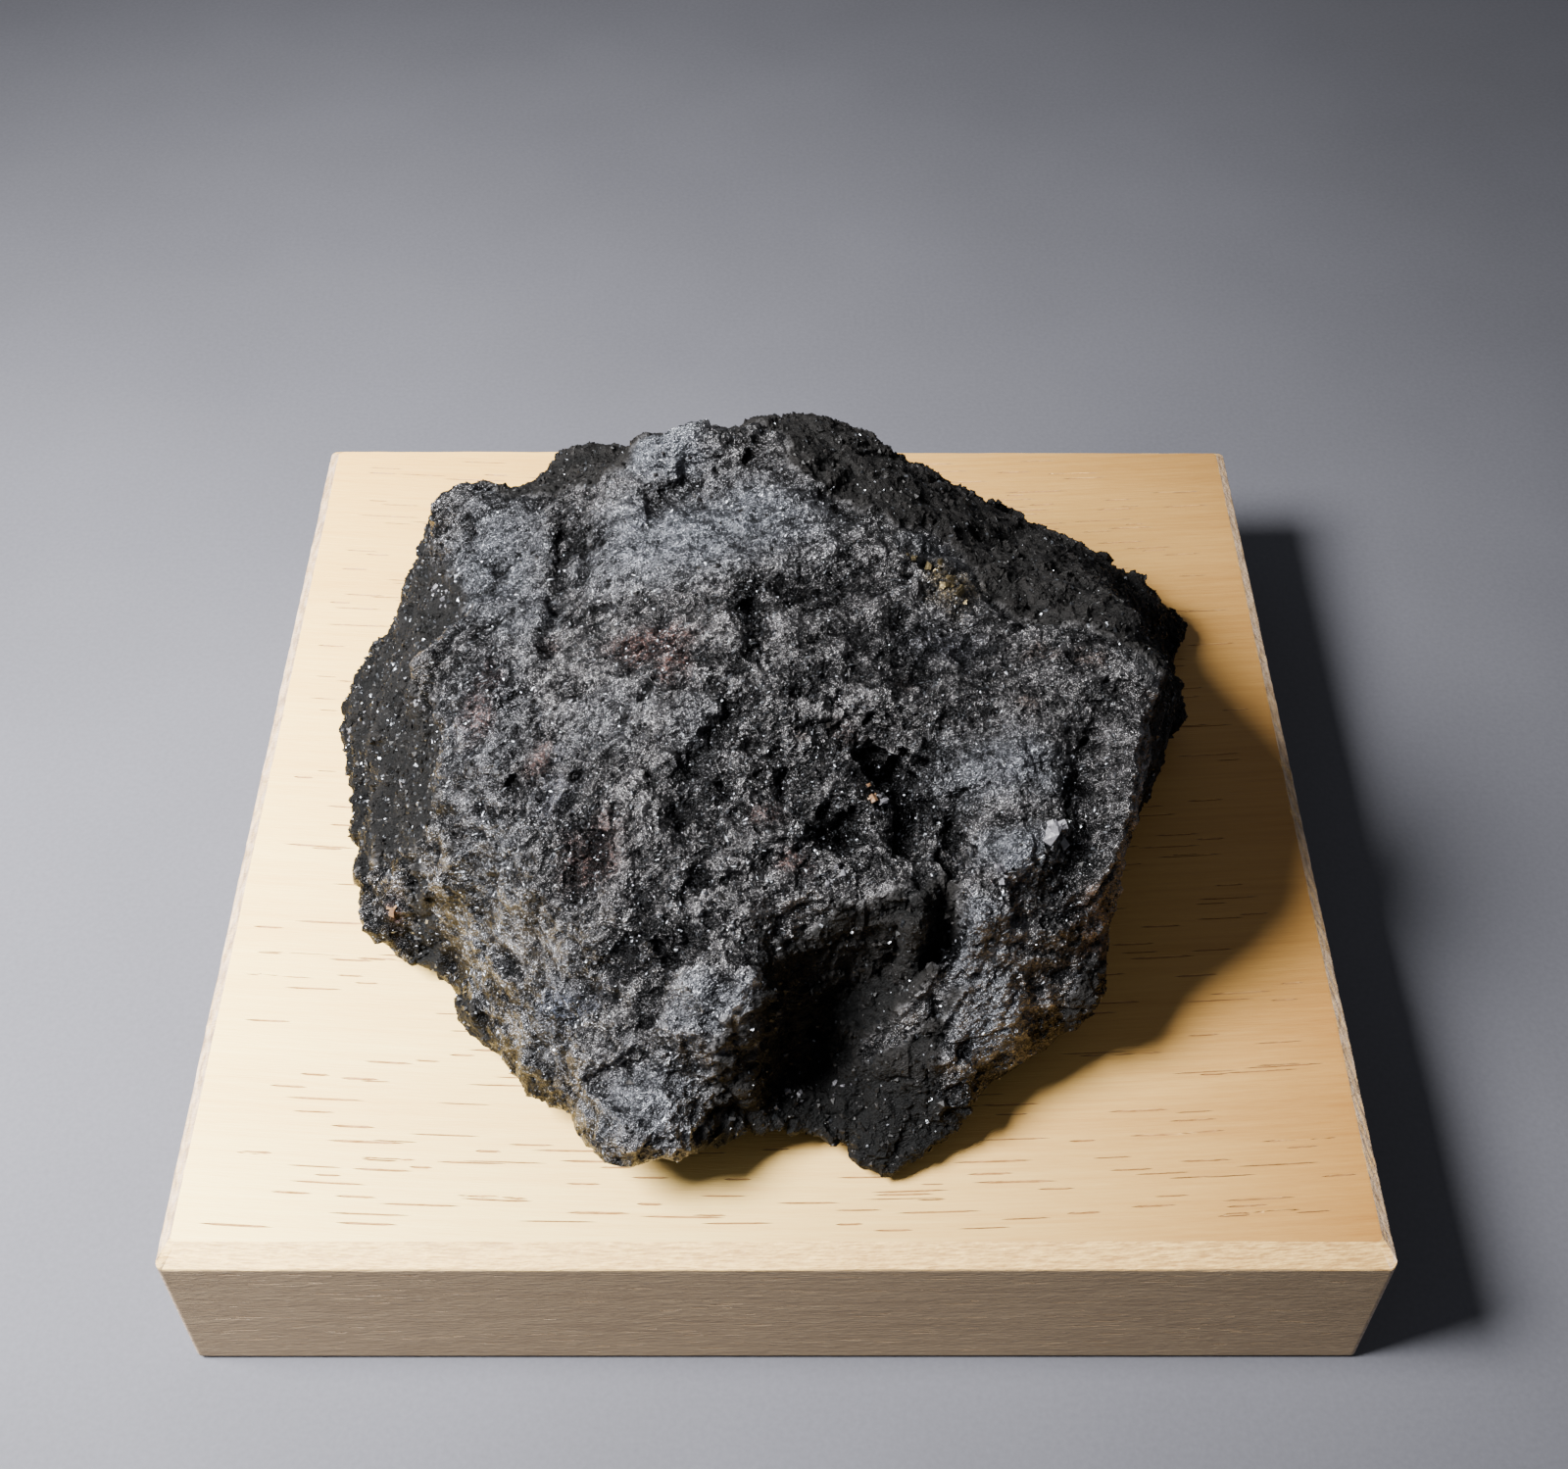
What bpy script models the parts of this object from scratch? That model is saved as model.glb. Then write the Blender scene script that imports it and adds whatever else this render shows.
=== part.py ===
"""Plagionite specimen resting on a square wooden display block.

Sizes below are millimetres; the scene is built in metres with +Z up.
The origin is the centre of the block's underside, X to the right, Y to the back.
"""
import math

import bmesh
import bpy
import numpy as np
from mathutils import Vector, noise

MM = 0.001
SEED = 11

# ---- display block ---------------------------------------------------------
BLOCK_WIDTH = 100.0
BLOCK_THICKNESS = 17.0
# Chamfer round the top, on the right, back, left and front: (run in from the side, drop)
CHAMFERS = [(1.0, 0.45), (0.35, 0.35), (1.0, 0.45), (2.1, 1.0)]
BLOCK_CORNER_ROUND = 0.5
BLOCK_FOOT_ROUND = 0.5
# Levels of the chamfer: share of its run, share of its drop, soft part of the lower arris
CHAMFER_LEVELS = [(0.0, 1.0, 0.25), (0.03, 0.96, 0.06), (0.12, 0.88, 0.0), (0.88, 0.10, 0.0),
                  (0.97, 0.02, 0.0), (1.12, 0.0, 0.0)]
CORNER_STEPS = 6

# ---- specimen --------------------------------------------------------------
LIFT = 0.05               # the even skin sits about this much plus half a cell clear of the block
SPINE = (-2.0, -10.0)     # plan point the shape is built round
AROUND = 420              # samples round the specimen
TOP_RINGS = 84            # samples from the spine point to the rim
FLANK_RINGS = 22          # samples from the rim down to the foot
UNDER_RINGS = 14          # samples across the underside
BELLY_REACHED = 0.55      # share of the flank at which it is widest
BELLY_LEVEL = 0.6         # share of the flank at which it has come down to the belly's height
TUCK_START = 0.45         # share of the flank at which it starts to turn in to the foot
TUCK_POWER = 1.7
FOOT_START = 0.3          # share of the flank at which it starts to come down to the foot's height
FOOT_POWER = 1.5
UNDER_HOLLOW = 1.6        # rise of the underside from its edge to its middle
FACE_SOFTNESS = 1.2       # rounding of the modelled high and low points
SKIN = 0.6                # even mesh size before the facets are cut
FACET_SHARE = 0.088       # share of the even mesh kept as facets

# Each point is (x, y, height above the block).
# Rim: where the upper surface turns over into the flanks.
RIM_FRONT_RIGHT = [(8.8, -41.5, 2.5), (12.0, -39.8, 4.5), (13.7, -38.2, 6.6), (16.5, -36.2, 8.0),
                   (20.5, -33.4, 9.5), (22.6, -31.2, 13.0), (24.2, -28.6, 18.0),
                   (25.5, -27.4, 20.5), (27.3, -25.2, 23.2)]
RIM_RIGHT = [(28.5, -21.6, 26.4), (29.3, -17.5, 28.2), (31.0, -12.4, 28.2), (32.1, -8.2, 26.6),
             (33.2, -4.0, 22.6), (34.3, 0.4, 17.6), (35.7, 4.6, 12.0), (36.9, 8.2, 7.4),
             (38.2, 12.4, 4.6), (39.5, 16.6, 3.4), (41.1, 20.0, 2.9)]
RIM_BACK = [(39.0, 21.6, 4.4), (35.0, 22.8, 6.8), (30.0, 23.4, 9.6), (24.0, 25.0, 12.0),
            (16.0, 26.5, 16.0), (8.0, 27.5, 17.0), (0.0, 28.0, 17.0), (-8.0, 29.5, 16.5),
            (-15.0, 30.2, 16.5), (-20.0, 29.4, 16.5), (-24.5, 26.5, 16.0), (-28.0, 23.5, 15.0),
            (-32.0, 22.5, 13.0), (-34.8, 21.0, 11.0)]
RIM_LEFT = [(-35.8, 16.5, 9.5), (-38.3, 12.3, 7.5), (-40.0, 9.0, 6.8), (-40.4, 5.0, 6.5),
            (-39.9, 1.3, 6.3), (-38.8, -2.5, 5.6), (-37.2, -7.2, 6.0), (-36.6, -12.3, 7.0),
            (-36.0, -17.0, 7.4), (-35.2, -20.6, 6.6), (-32.6, -21.4, 6.0), (-30.2, -22.2, 5.4),
            (-28.6, -24.0, 5.2), (-27.0, -26.0, 5.2), (-26.0, -28.8, 5.8), (-24.0, -31.8, 6.4)]
RIM_FRONT = [(-20.2, -36.6, 7.2), (-18.0, -38.4, 7.8), (-16.4, -39.7, 8.4), (-15.0, -42.4, 8.8),
             (-13.6, -44.0, 9.2), (-11.3, -44.9, 9.4), (-8.2, -44.7, 9.4), (-6.4, -42.6, 9.0),
             (-4.8, -41.0, 7.8), (-1.5, -39.7, 6.2), (3.0, -38.4, 4.6), (5.6, -39.4, 3.8),
             (7.3, -41.2, 3.0)]
RIM = RIM_FRONT_RIGHT + RIM_RIGHT + RIM_BACK + RIM_LEFT + RIM_FRONT

# Belly: the widest line of the flanks.
BELLY = [(9.0, -42.5, 1.4), (12.5, -41.0, 2.8), (15.0, -39.0, 4.0), (18.0, -36.0, 5.5),
         (21.0, -34.0, 6.5), (24.5, -32.0, 7.5), (27.0, -29.0, 8.0), (27.9, -24.0, 8.0),
         (28.8, -19.5, 8.0), (30.6, -15.0, 9.5), (31.6, -11.6, 10.5), (33.2, -8.6, 10.0),
         (34.4, -5.2, 9.0), (35.2, -1.0, 7.0), (36.2, 3.0, 5.4), (38.0, 6.0, 4.2),
         (38.6, 9.5, 3.0), (38.8, 12.8, 2.4), (40.0, 17.0, 2.2), (41.8, 20.6, 1.8),
         (39.6, 22.8, 2.6), (35.0, 24.6, 5.0), (29.5, 27.0, 7.0), (22.0, 28.5, 8.0),
         (12.0, 29.5, 9.0), (2.0, 30.3, 9.0), (-8.0, 31.5, 9.0), (-17.0, 31.8, 9.5),
         (-24.5, 29.0, 9.0), (-31.0, 26.0, 8.0), (-35.8, 22.4, 7.6), (-37.6, 16.5, 6.4),
         (-39.2, 12.2, 5.4), (-41.0, 8.6, 4.8), (-41.4, 5.0, 4.4), (-40.8, 1.4, 4.2),
         (-39.8, -2.5, 3.8), (-38.2, -7.0, 3.8), (-37.6, -12.2, 4.8), (-37.0, -17.0, 5.6),
         (-36.0, -21.2, 5.0), (-32.6, -22.4, 4.2), (-30.4, -23.2, 3.8), (-29.0, -24.4, 3.6),
         (-27.6, -26.2, 3.6), (-26.9, -28.8, 4.0), (-24.4, -32.0, 4.6), (-20.4, -37.0, 5.2),
         (-18.0, -38.8, 5.6), (-16.6, -40.0, 6.2), (-15.2, -42.8, 7.2), (-13.7, -44.4, 7.8),
         (-11.4, -45.2, 8.0), (-8.0, -45.0, 8.0), (-6.0, -43.0, 6.8), (-4.4, -41.6, 5.8),
         (-1.2, -40.3, 4.6), (3.0, -39.0, 3.2), (5.8, -40.2, 2.4), (7.4, -42.0, 1.8)]

# Foot: the outline the specimen stands on.
FOOT = [(8.7, -41.2, 0.4), (12.0, -37.4, 1.0), (17.0, -32.5, 0.8), (22.5, -27.5, 0.6),
        (26.5, -18.0, 0.8), (29.5, -8.0, 0.5), (33.5, 0.0, 0.4), (37.0, 7.0, 0.3),
        (37.6, 13.0, 0.4), (39.6, 18.6, 0.4), (34.0, 22.5, 0.6), (25.0, 24.5, 0.9),
        (10.0, 26.0, 0.7), (-5.0, 27.5, 0.5), (-18.0, 27.5, 0.6), (-28.0, 22.5, 0.8),
        (-34.5, 13.5, 0.4), (-38.2, 5.0, 0.4), (-37.6, -3.0, 0.5), (-34.6, -12.0, 0.6),
        (-31.5, -18.0, 1.2), (-25.5, -25.0, 0.8), (-21.0, -30.5, 0.9), (-13.0, -34.5, 2.2),
        (-5.0, -35.0, 1.8), (1.0, -35.0, 1.0), (5.5, -38.0, 0.7)]

# Upper face, from the back crest down to the front lobe.
CREST = [(-32.0, 14.5, 22.5), (-29.5, 16.6, 24.0), (-25.2, 13.8, 25.0), (-19.3, 11.8, 27.0),
         (-16.9, 10.5, 29.0), (-13.0, 9.6, 31.2), (-11.0, 11.4, 32.9), (-8.8, 12.2, 34.1),
         (-7.0, 12.6, 34.1), (-5.0, 12.8, 33.2), (-3.0, 14.8, 32.0), (0.6, 14.0, 32.2),
         (2.2, 20.4, 28.8), (8.2, 19.8, 26.8), (12.6, 18.0, 25.0), (15.7, 15.6, 24.0),
         (20.5, 15.0, 22.0), (25.0, 14.6, 19.8), (28.0, 15.6, 17.6), (32.0, 16.8, 12.8),
         (36.4, 18.6, 8.4)]
CREST_HOLLOW = [(-11.0, 9.6, 30.0), (-8.0, 10.4, 30.4), (-5.2, 10.8, 30.8), (-2.4, 11.4, 31.4)]
FACE = [(-29.5, 9.0, 22.5), (-24.0, 6.0, 24.5), (-17.0, 2.0, 27.0), (-8.0, 5.0, 30.5),
        (1.4, 8.2, 32.5), (8.9, 4.2, 31.0), (-2.7, -14.6, 29.5), (-9.0, -6.0, 29.5),
        (-15.3, -17.2, 26.5), (-23.0, -6.0, 25.0), (-24.0, -17.0, 22.5), (-15.0, -28.4, 22.0),
        (8.4, -13.7, 28.5), (16.3, -17.2, 27.0), (16.1, -25.0, 24.0), (19.4, -5.2, 28.5),
        (23.5, -14.0, 28.4), (22.6, -21.0, 26.0), (5.0, -22.0, 26.0), (-3.0, -24.0, 25.5),
        (-8.0, -33.0, 20.5), (-11.0, -37.0, 16.5), (-20.0, -31.0, 13.5)]
FACE_RIGHT_EDGE = [(27.4, -6.6, 29.0), (29.0, -11.0, 29.2), (27.8, -17.0, 27.8),
                   (26.2, -23.0, 24.4), (24.2, -26.6, 21.6), (21.0, -30.0, 17.4)]
FACE_LEFT_EDGE = [(-31.6, 7.0, 20.5), (-30.0, 6.4, 21.5), (-31.8, -4.0, 22.0), (-30.8, -6.0, 20.6),
                  (-29.3, -13.0, 21.0), (-29.5, -15.5, 19.0), (-30.0, -18.6, 14.0),
                  (-28.6, -22.0, 12.6), (-24.6, -28.2, 10.4), (-20.4, -34.6, 10.0)]
LEFT_FLANK = [(-34.0, 11.0, 13.5), (-34.2, 6.6, 14.0), (-35.4, -1.6, 13.0), (-37.6, 1.8, 10.0),
              (-37.6, -3.0, 9.0), (-34.2, -9.4, 12.0), (-33.6, -14.6, 11.0), (-34.2, -18.6, 9.0),
              (-32.6, -20.4, 8.2)]
BACK_LEFT = [(-21.5, 20.6, 21.8), (-18.0, 22.4, 21.2), (-14.6, 22.4, 21.6), (-24.4, 17.8, 22.2),
             (-20.9, 27.6, 18.4), (-16.4, 28.4, 18.6), (-13.8, 25.8, 20.2), (-9.0, 20.0, 24.5),
             (-4.0, 22.0, 25.0), (-10.2, 14.0, 32.0), (-6.4, 15.0, 32.1)]
BACK_RIGHT = [(5.0, 13.0, 30.5), (9.0, 10.5, 29.6), (13.5, 9.0, 28.2), (17.0, 6.6, 27.0),
              (20.5, 7.5, 24.6), (23.4, 2.6, 25.6), (27.0, 4.2, 23.8), (28.0, -0.8, 26.6),
              (30.8, -2.8, 25.6), (32.4, 3.2, 19.2), (30.2, 9.5, 18.8), (35.2, 12.6, 10.8)]
LOBE = [(-4.8, -39.6, 12.8), (-2.2, -37.4, 15.0), (-1.0, -35.6, 17.8), (-0.3, -32.6, 20.4),
        (-12.0, -41.8, 11.4), (-8.0, -41.0, 12.2)]
SHELF = [(4.3, -30.4, 22.0), (10.0, -28.8, 22.2), (13.0, -26.4, 22.0), (16.0, -30.2, 20.6)]
FLAP = [(14.6, -33.6, 14.6), (18.0, -33.0, 14.0), (14.6, -35.6, 11.2), (14.2, -37.2, 8.2)]
FACE_POINTS = (RIM + CREST + CREST_HOLLOW + FACE + FACE_RIGHT_EDGE + FACE_LEFT_EDGE + LEFT_FLANK
               + BACK_LEFT + BACK_RIGHT + LOBE + SHELF + FLAP)

# Cavity in the front, a steep walled bite with its own floor.
CAVITY_EDGE = [(-4.6, -46.0), (-5.0, -42.8), (-4.9, -40.2), (-1.9, -38.8), (-1.2, -36.8),
               (-0.4, -35.8), (-0.1, -33.4), (1.6, -32.5), (4.3, -31.1), (6.6, -30.1),
               (8.9, -29.9), (10.4, -29.3), (10.0, -31.2), (11.0, -31.4), (11.8, -28.6),
               (13.2, -27.8), (14.2, -29.2), (15.0, -31.0), (14.4, -31.5), (12.1, -31.8),
               (11.6, -32.6), (12.3, -33.5), (14.6, -34.1), (13.8, -35.1), (13.2, -36.4),
               (13.4, -37.8), (12.7, -39.0), (16.0, -46.0)]
CAVITY_FLOOR = [(1.2, -33.4, 9.0), (4.5, -32.3, 9.6), (8.6, -31.0, 12.2), (11.4, -30.2, 14.4),
                (13.6, -29.6, 15.4), (8.5, -33.0, 11.0), (11.6, -33.6, 13.2), (11.6, -35.4, 9.8),
                (7.4, -34.6, 8.4), (4.2, -34.0, 6.8), (0.8, -35.6, 6.6), (3.2, -35.4, 5.4),
                (-2.6, -38.6, 6.8), (0.6, -37.8, 5.4), (6.0, -36.4, 5.8), (4.0, -38.2, 4.4),
                (8.4, -39.4, 5.2), (9.2, -41.2, 3.0), (12.4, -38.6, 5.0), (-4.6, -40.8, 7.4),
                (10.6, -37.0, 7.0), (5.8, -39.6, 3.6)]
CAVITY_WALL = 0.7         # run of the wall from edge to floor

# Terrace of matrix on the left, below the edge of the upper face.
TERRACE_EDGE = [(-33.6, 13.4), (-31.8, 11.4), (-30.4, 9.2), (-29.6, 7.0), (-28.0, 4.6),
                (-28.1, 1.4), (-30.4, -0.3), (-32.3, -2.8), (-32.3, -4.8), (-30.6, -6.4),
                (-29.4, -8.0), (-29.0, -11.6), (-29.1, -15.6), (-28.5, -17.2), (-29.8, -17.8),
                (-31.2, -18.2), (-33.4, -16.4), (-35.6, -15.4), (-38.0, -14.6), (-48.0, -14.0),
                (-48.0, 14.0)]
TERRACE_FLOOR = [(-31.9, 11.0, 16.8), (-30.4, 7.6, 18.2), (-32.3, 3.4, 16.6), (-30.0, 2.4, 17.8),
                 (-33.6, -0.2, 15.2), (-31.2, -8.2, 15.8), (-31.4, -9.2, 15.0),
                 (-30.6, -13.2, 15.0), (-32.0, -13.6, 13.0), (-34.0, -13.2, 10.2),
                 (-34.4, 10.2, 13.6), (-35.7, 4.0, 12.2), (-35.4, -2.8, 12.0), (-35.4, -8.2, 9.8),
                 (-37.6, -8.2, 6.2), (-38.3, 2.4, 9.0), (-38.3, -2.8, 8.0), (-33.2, 15.2, 15.0),
                 (-36.0, 16.4, 9.3), (-38.3, 12.3, 7.5), (-40.0, 9.0, 6.8), (-40.4, 5.0, 6.5),
                 (-39.9, 1.3, 6.3), (-38.8, -2.5, 5.6), (-36.8, -12.3, 6.8)]
TERRACE_WALL = 0.8

# ---- relief on the upper face ----------------------------------------------
# Ledge: path, drop, run, reach. The ground on the left of the path is lower.
LEDGES = [
    ([(-17.5, 10.0), (-19.5, 9.0), (-20.0, 6.5), (-19.5, 2.5), (-19.8, -1.0), (-20.5, -4.5),
      (-19.0, -8.5)], 1.9, 0.7, 5.0),
    ([(-3.0, -14.5), (-5.5, -17.0), (-7.5, -20.0), (-8.5, -23.0), (-8.3, -26.5)], 2.1, 1.6, 8.0),
    ([(9.5, 1.0), (3.0, -1.0), (-1.5, -2.5)], 1.3, 0.9, 4.5),
    ([(28.0, -11.0), (25.0, -18.0), (23.5, -21.5), (23.0, -24.5), (20.5, -27.0), (20.0, -29.5),
      (21.0, -30.8)], 2.0, 2.0, 5.0),
    ([(1.0, 9.0), (4.0, 6.5), (7.0, 4.5), (10.0, 3.2), (13.0, 4.2), (16.0, 2.5), (17.2, -2.0),
      (21.0, -5.2), (25.0, -6.0), (28.0, -6.8)], 1.4, 0.9, 4.0),
    ([(32.4, 14.0), (34.2, 10.5), (36.2, 7.0)], 1.6, 0.8, 4.0),
    ([(-26.5, 1.0), (-28.0, -2.0), (-30.6, -5.0)], 0.9, 0.8, 4.0),
    ([(15.5, -21.0), (13.0, -23.5), (13.4, -27.5)], 1.2, 1.0, 3.5),
]
# Groove: path, width, depth.
GROOVES = [
    ([(5.5, -16.5), (7.0, -18.0), (9.5, -20.0), (11.0, -21.5), (10.2, -24.5), (11.0, -27.0)],
     1.7, 2.6),
    ([(16.0, -23.5), (19.5, -24.0), (23.0, -22.0)], 0.7, 0.9),
    ([(-14.0, -38.6), (-11.0, -39.5), (-8.0, -40.0), (-5.0, -39.6), (-2.4, -38.2)], 1.0, 1.9),
    ([(13.0, -33.0), (16.0, -33.1), (20.5, -31.4)], 0.6, 0.9),
    ([(-30.8, -17.0), (-31.0, -19.0), (-31.0, -21.0), (-30.2, -23.0)], 0.8, 2.0),
    ([(-1.5, -4.5), (-2.0, -8.5), (-1.4, -11.5)], 1.0, 1.1),
    ([(-18.4, 7.5), (-16.6, 5.0), (-17.0, 2.0)], 0.6, 0.9),
    ([(-13.0, -34.0), (-8.0, -33.6), (-5.5, -33.0)], 1.0, 0.9),
    ([(-9.5, -35.5), (-10.5, -37.0), (-10.8, -38.6)], 0.8, 0.9),
]
# Hollow: x, y, half width, half depth in plan, depth (negative for a swelling).
HOLLOWS = [
    (5.0, -24.8, 2.6, 1.7, 2.0), (-15.2, -26.5, 1.9, 3.2, 1.7), (-16.0, -34.4, 2.6, 2.2, 1.0),
    (-10.5, -29.8, 1.0, 1.8, 1.1), (-6.0, -29.0, 1.4, 1.0, 1.1), (-6.6, -13.0, 2.4, 0.9, 0.9),
    (-23.5, -6.0, 1.0, 1.2, 1.2), (-29.8, -5.6, 1.3, 0.9, 1.3), (-21.5, -20.5, 1.1, 0.8, 0.9),
    (11.0, -1.5, 1.1, 1.0, 1.0), (13.0, 0.5, 0.9, 1.0, 0.9), (21.5, -2.0, 1.1, 1.4, 0.9),
    (13.0, -9.5, 6.5, 3.2, 0.9), (4.0, -3.6, 4.2, 2.0, 0.6), (1.0, -20.5, 3.0, 2.0, 0.8),
    (-4.6, -36.6, 4.0, 1.8, -1.4), (20.0, -25.8, 2.4, 1.3, -1.1), (17.6, -19.6, 3.8, 2.2, -0.8),
    (-1.5, -24.6, 3.2, 2.0, -0.9), (-28.5, 12.4, 2.6, 2.2, -0.7), (-24.0, 4.5, 3.4, 3.6, 0.9),
    (-17.4, 3.6, 1.8, 3.4, -0.6), (15.0, -2.2, 2.0, 1.6, -0.8), (7.5, -14.2, 2.0, 1.6, -0.7),
    (17.0, -31.0, 2.6, 1.2, -0.7), (24.6, -18.6, 1.6, 2.4, 0.9),
]

# ---- surface breakage ------------------------------------------------------
# Flat-sided fracture blocks at two sizes: (block size, tilt of the faces)
FRACTURE = [(7.0, 0.10), (3.0, 0.13)]
# Rounded unevenness at two sizes: (size, height)
ROUGHNESS = [(8.0, 0.30), (2.6, 0.22)]
FRACTURE_SHIFT = Vector((31.0, 0.0, 0.0))    # moves the pattern on from one size to the next
ROUGHNESS_SHIFT = Vector((0.0, 19.0, 0.0))
PATTERN_START = Vector((SEED, 7.3, 2.1))
LEAN_SPREAD = 53.7        # makes the lean of neighbouring blocks unrelated
CALM_FROM = 0.6           # breakage fades in from this height above the block
CALM_OVER = 4.0
CAVITY_SOFTNESS = 0.8
TERRACE_SOFTNESS = 1.0
LEDGE_FADE = 0.15         # share of a ledge's length over which each end fades
GROOVE_FADE = 0.2
GROOVE_END = 0.35         # share of a groove's depth that is left at its ends


def lookup(points, softness):
    """Smooth height function through scattered (x, y, height) points."""
    table = np.array(points, dtype=float)
    site = table[:, :2]
    gap = site[:, None, :] - site[None, :, :]
    kernel = np.sqrt((gap ** 2).sum(2) + softness ** 2)
    plane = np.column_stack([np.ones(len(site)), site])
    count = len(site)
    system = np.zeros((count + 3, count + 3))
    system[:count, :count] = kernel
    system[:count, count:] = plane
    system[count:, :count] = plane.T
    weight = np.linalg.solve(system, np.append(table[:, 2], np.zeros(3)))

    def height(x, y):
        flat = np.column_stack([np.ravel(x), np.ravel(y)])
        total = np.zeros(len(flat))
        for start in range(0, len(flat), 8000):
            part = flat[start:start + 8000]
            away = part[:, None, :] - site[None, :, :]
            near = np.sqrt((away ** 2).sum(2) + softness ** 2)
            total[start:start + 8000] = near @ weight[:count]
            total[start:start + 8000] += weight[count] + part @ weight[count + 1:]
        return total.reshape(np.shape(x))

    return height


def smooth(value):
    value = np.clip(value, 0.0, 1.0)
    return value * value * (3.0 - 2.0 * value)


def distance_to(path, x, y):
    """Distance to a polyline, which side it is on (left positive), position along it 0..1."""
    best = np.full(np.shape(x), 1e9)
    side = np.zeros(np.shape(x))
    along = np.zeros(np.shape(x))
    lengths = [math.dist(path[i][:2], path[i + 1][:2]) for i in range(len(path) - 1)]
    total = sum(lengths)
    walked = 0.0
    for i, length in enumerate(lengths):
        ax, ay = path[i][:2]
        bx, by = path[i + 1][:2]
        dx, dy = (bx - ax) / length, (by - ay) / length
        run = np.clip((x - ax) * dx + (y - ay) * dy, 0.0, length)
        off = np.hypot(x - ax - run * dx, y - ay - run * dy)
        cross = dx * (y - ay) - dy * (x - ax)
        closer = off < best
        best = np.where(closer, off, best)
        side = np.where(closer, np.sign(cross), side)
        along = np.where(closer, (walked + run) / total, along)
        walked += length
    return best, side, along


def lower_to(height, floor, edge, wall, x, y):
    """Drop the ground inside an outline to its own floor across a short wall."""
    distance, _, _ = distance_to(edge, x, y)
    signed = np.where(inside(edge, x, y), distance, -distance)
    share = smooth(0.5 + signed / (2.0 * wall))
    return height + (np.minimum(floor, height) - height) * share


def inside(polygon, x, y):
    hit = np.zeros(np.shape(x), dtype=bool)
    for i in range(len(polygon)):
        ax, ay = polygon[i]
        bx, by = polygon[(i + 1) % len(polygon)]
        if ay == by:
            continue
        crosses = (ay > y) != (by > y)
        edge_x = ax + (y - ay) * (bx - ax) / (by - ay)
        hit ^= crosses & (x < edge_x)
    return hit


face_height = lookup(FACE_POINTS, FACE_SOFTNESS)
floor_height = lookup(CAVITY_FLOOR, CAVITY_SOFTNESS)
terrace_height = lookup(TERRACE_FLOOR, TERRACE_SOFTNESS)


def surface_height(x, y):
    """Height of the upper surface above the block at plan point x, y."""
    height = face_height(x, y)
    for path, drop, run, reach in LEDGES:
        distance, side, along = distance_to(path, x, y)
        signed = distance * side
        fade = smooth(along / LEDGE_FADE) * smooth((1.0 - along) / LEDGE_FADE)
        lower = smooth(0.5 + signed / (2.0 * run)) * np.exp(-np.maximum(signed, 0.0) / reach)
        height = height - drop * lower * fade
    for path, width, depth in GROOVES:
        distance, _, along = distance_to(path, x, y)
        fade = smooth(along / GROOVE_FADE) * smooth((1.0 - along) / GROOVE_FADE)
        depth_here = depth * (GROOVE_END + (1.0 - GROOVE_END) * fade)
        height = height - depth_here * np.exp(-(distance / width) ** 2)
    for cx, cy, wide, long, depth in HOLLOWS:
        spread = ((x - cx) / wide) ** 2 + ((y - cy) / long) ** 2
        height = height - depth * np.exp(-spread ** 1.5)
    height = lower_to(height, terrace_height(x, y), TERRACE_EDGE, TERRACE_WALL, x, y)
    return lower_to(height, floor_height(x, y), CAVITY_EDGE, CAVITY_WALL, x, y)


def outline(points, angles):
    """Radius and height of a closed outline at each angle about the spine point."""
    table = np.array(points, dtype=float)
    dx = table[:, 0] - SPINE[0]
    dy = table[:, 1] - SPINE[1]
    bearing = np.arctan2(dy, dx) % (2 * math.pi)
    order = np.argsort(bearing)
    bearing = bearing[order]
    corner = np.column_stack([dx, dy, table[:, 2]])[order]
    radius = np.zeros(len(angles))
    height = np.zeros(len(angles))
    for k, angle in enumerate(angles):
        after = np.searchsorted(bearing, angle) % len(bearing)
        a = corner[after - 1]
        b = corner[after]
        ux, uy = math.cos(angle), math.sin(angle)
        side_a = ux * a[1] - uy * a[0]
        side_b = ux * b[1] - uy * b[0]
        share = side_a / (side_a - side_b)
        hit = a + (b - a) * share
        radius[k] = ux * hit[0] + uy * hit[1]
        height[k] = hit[2]
    return radius, height


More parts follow.
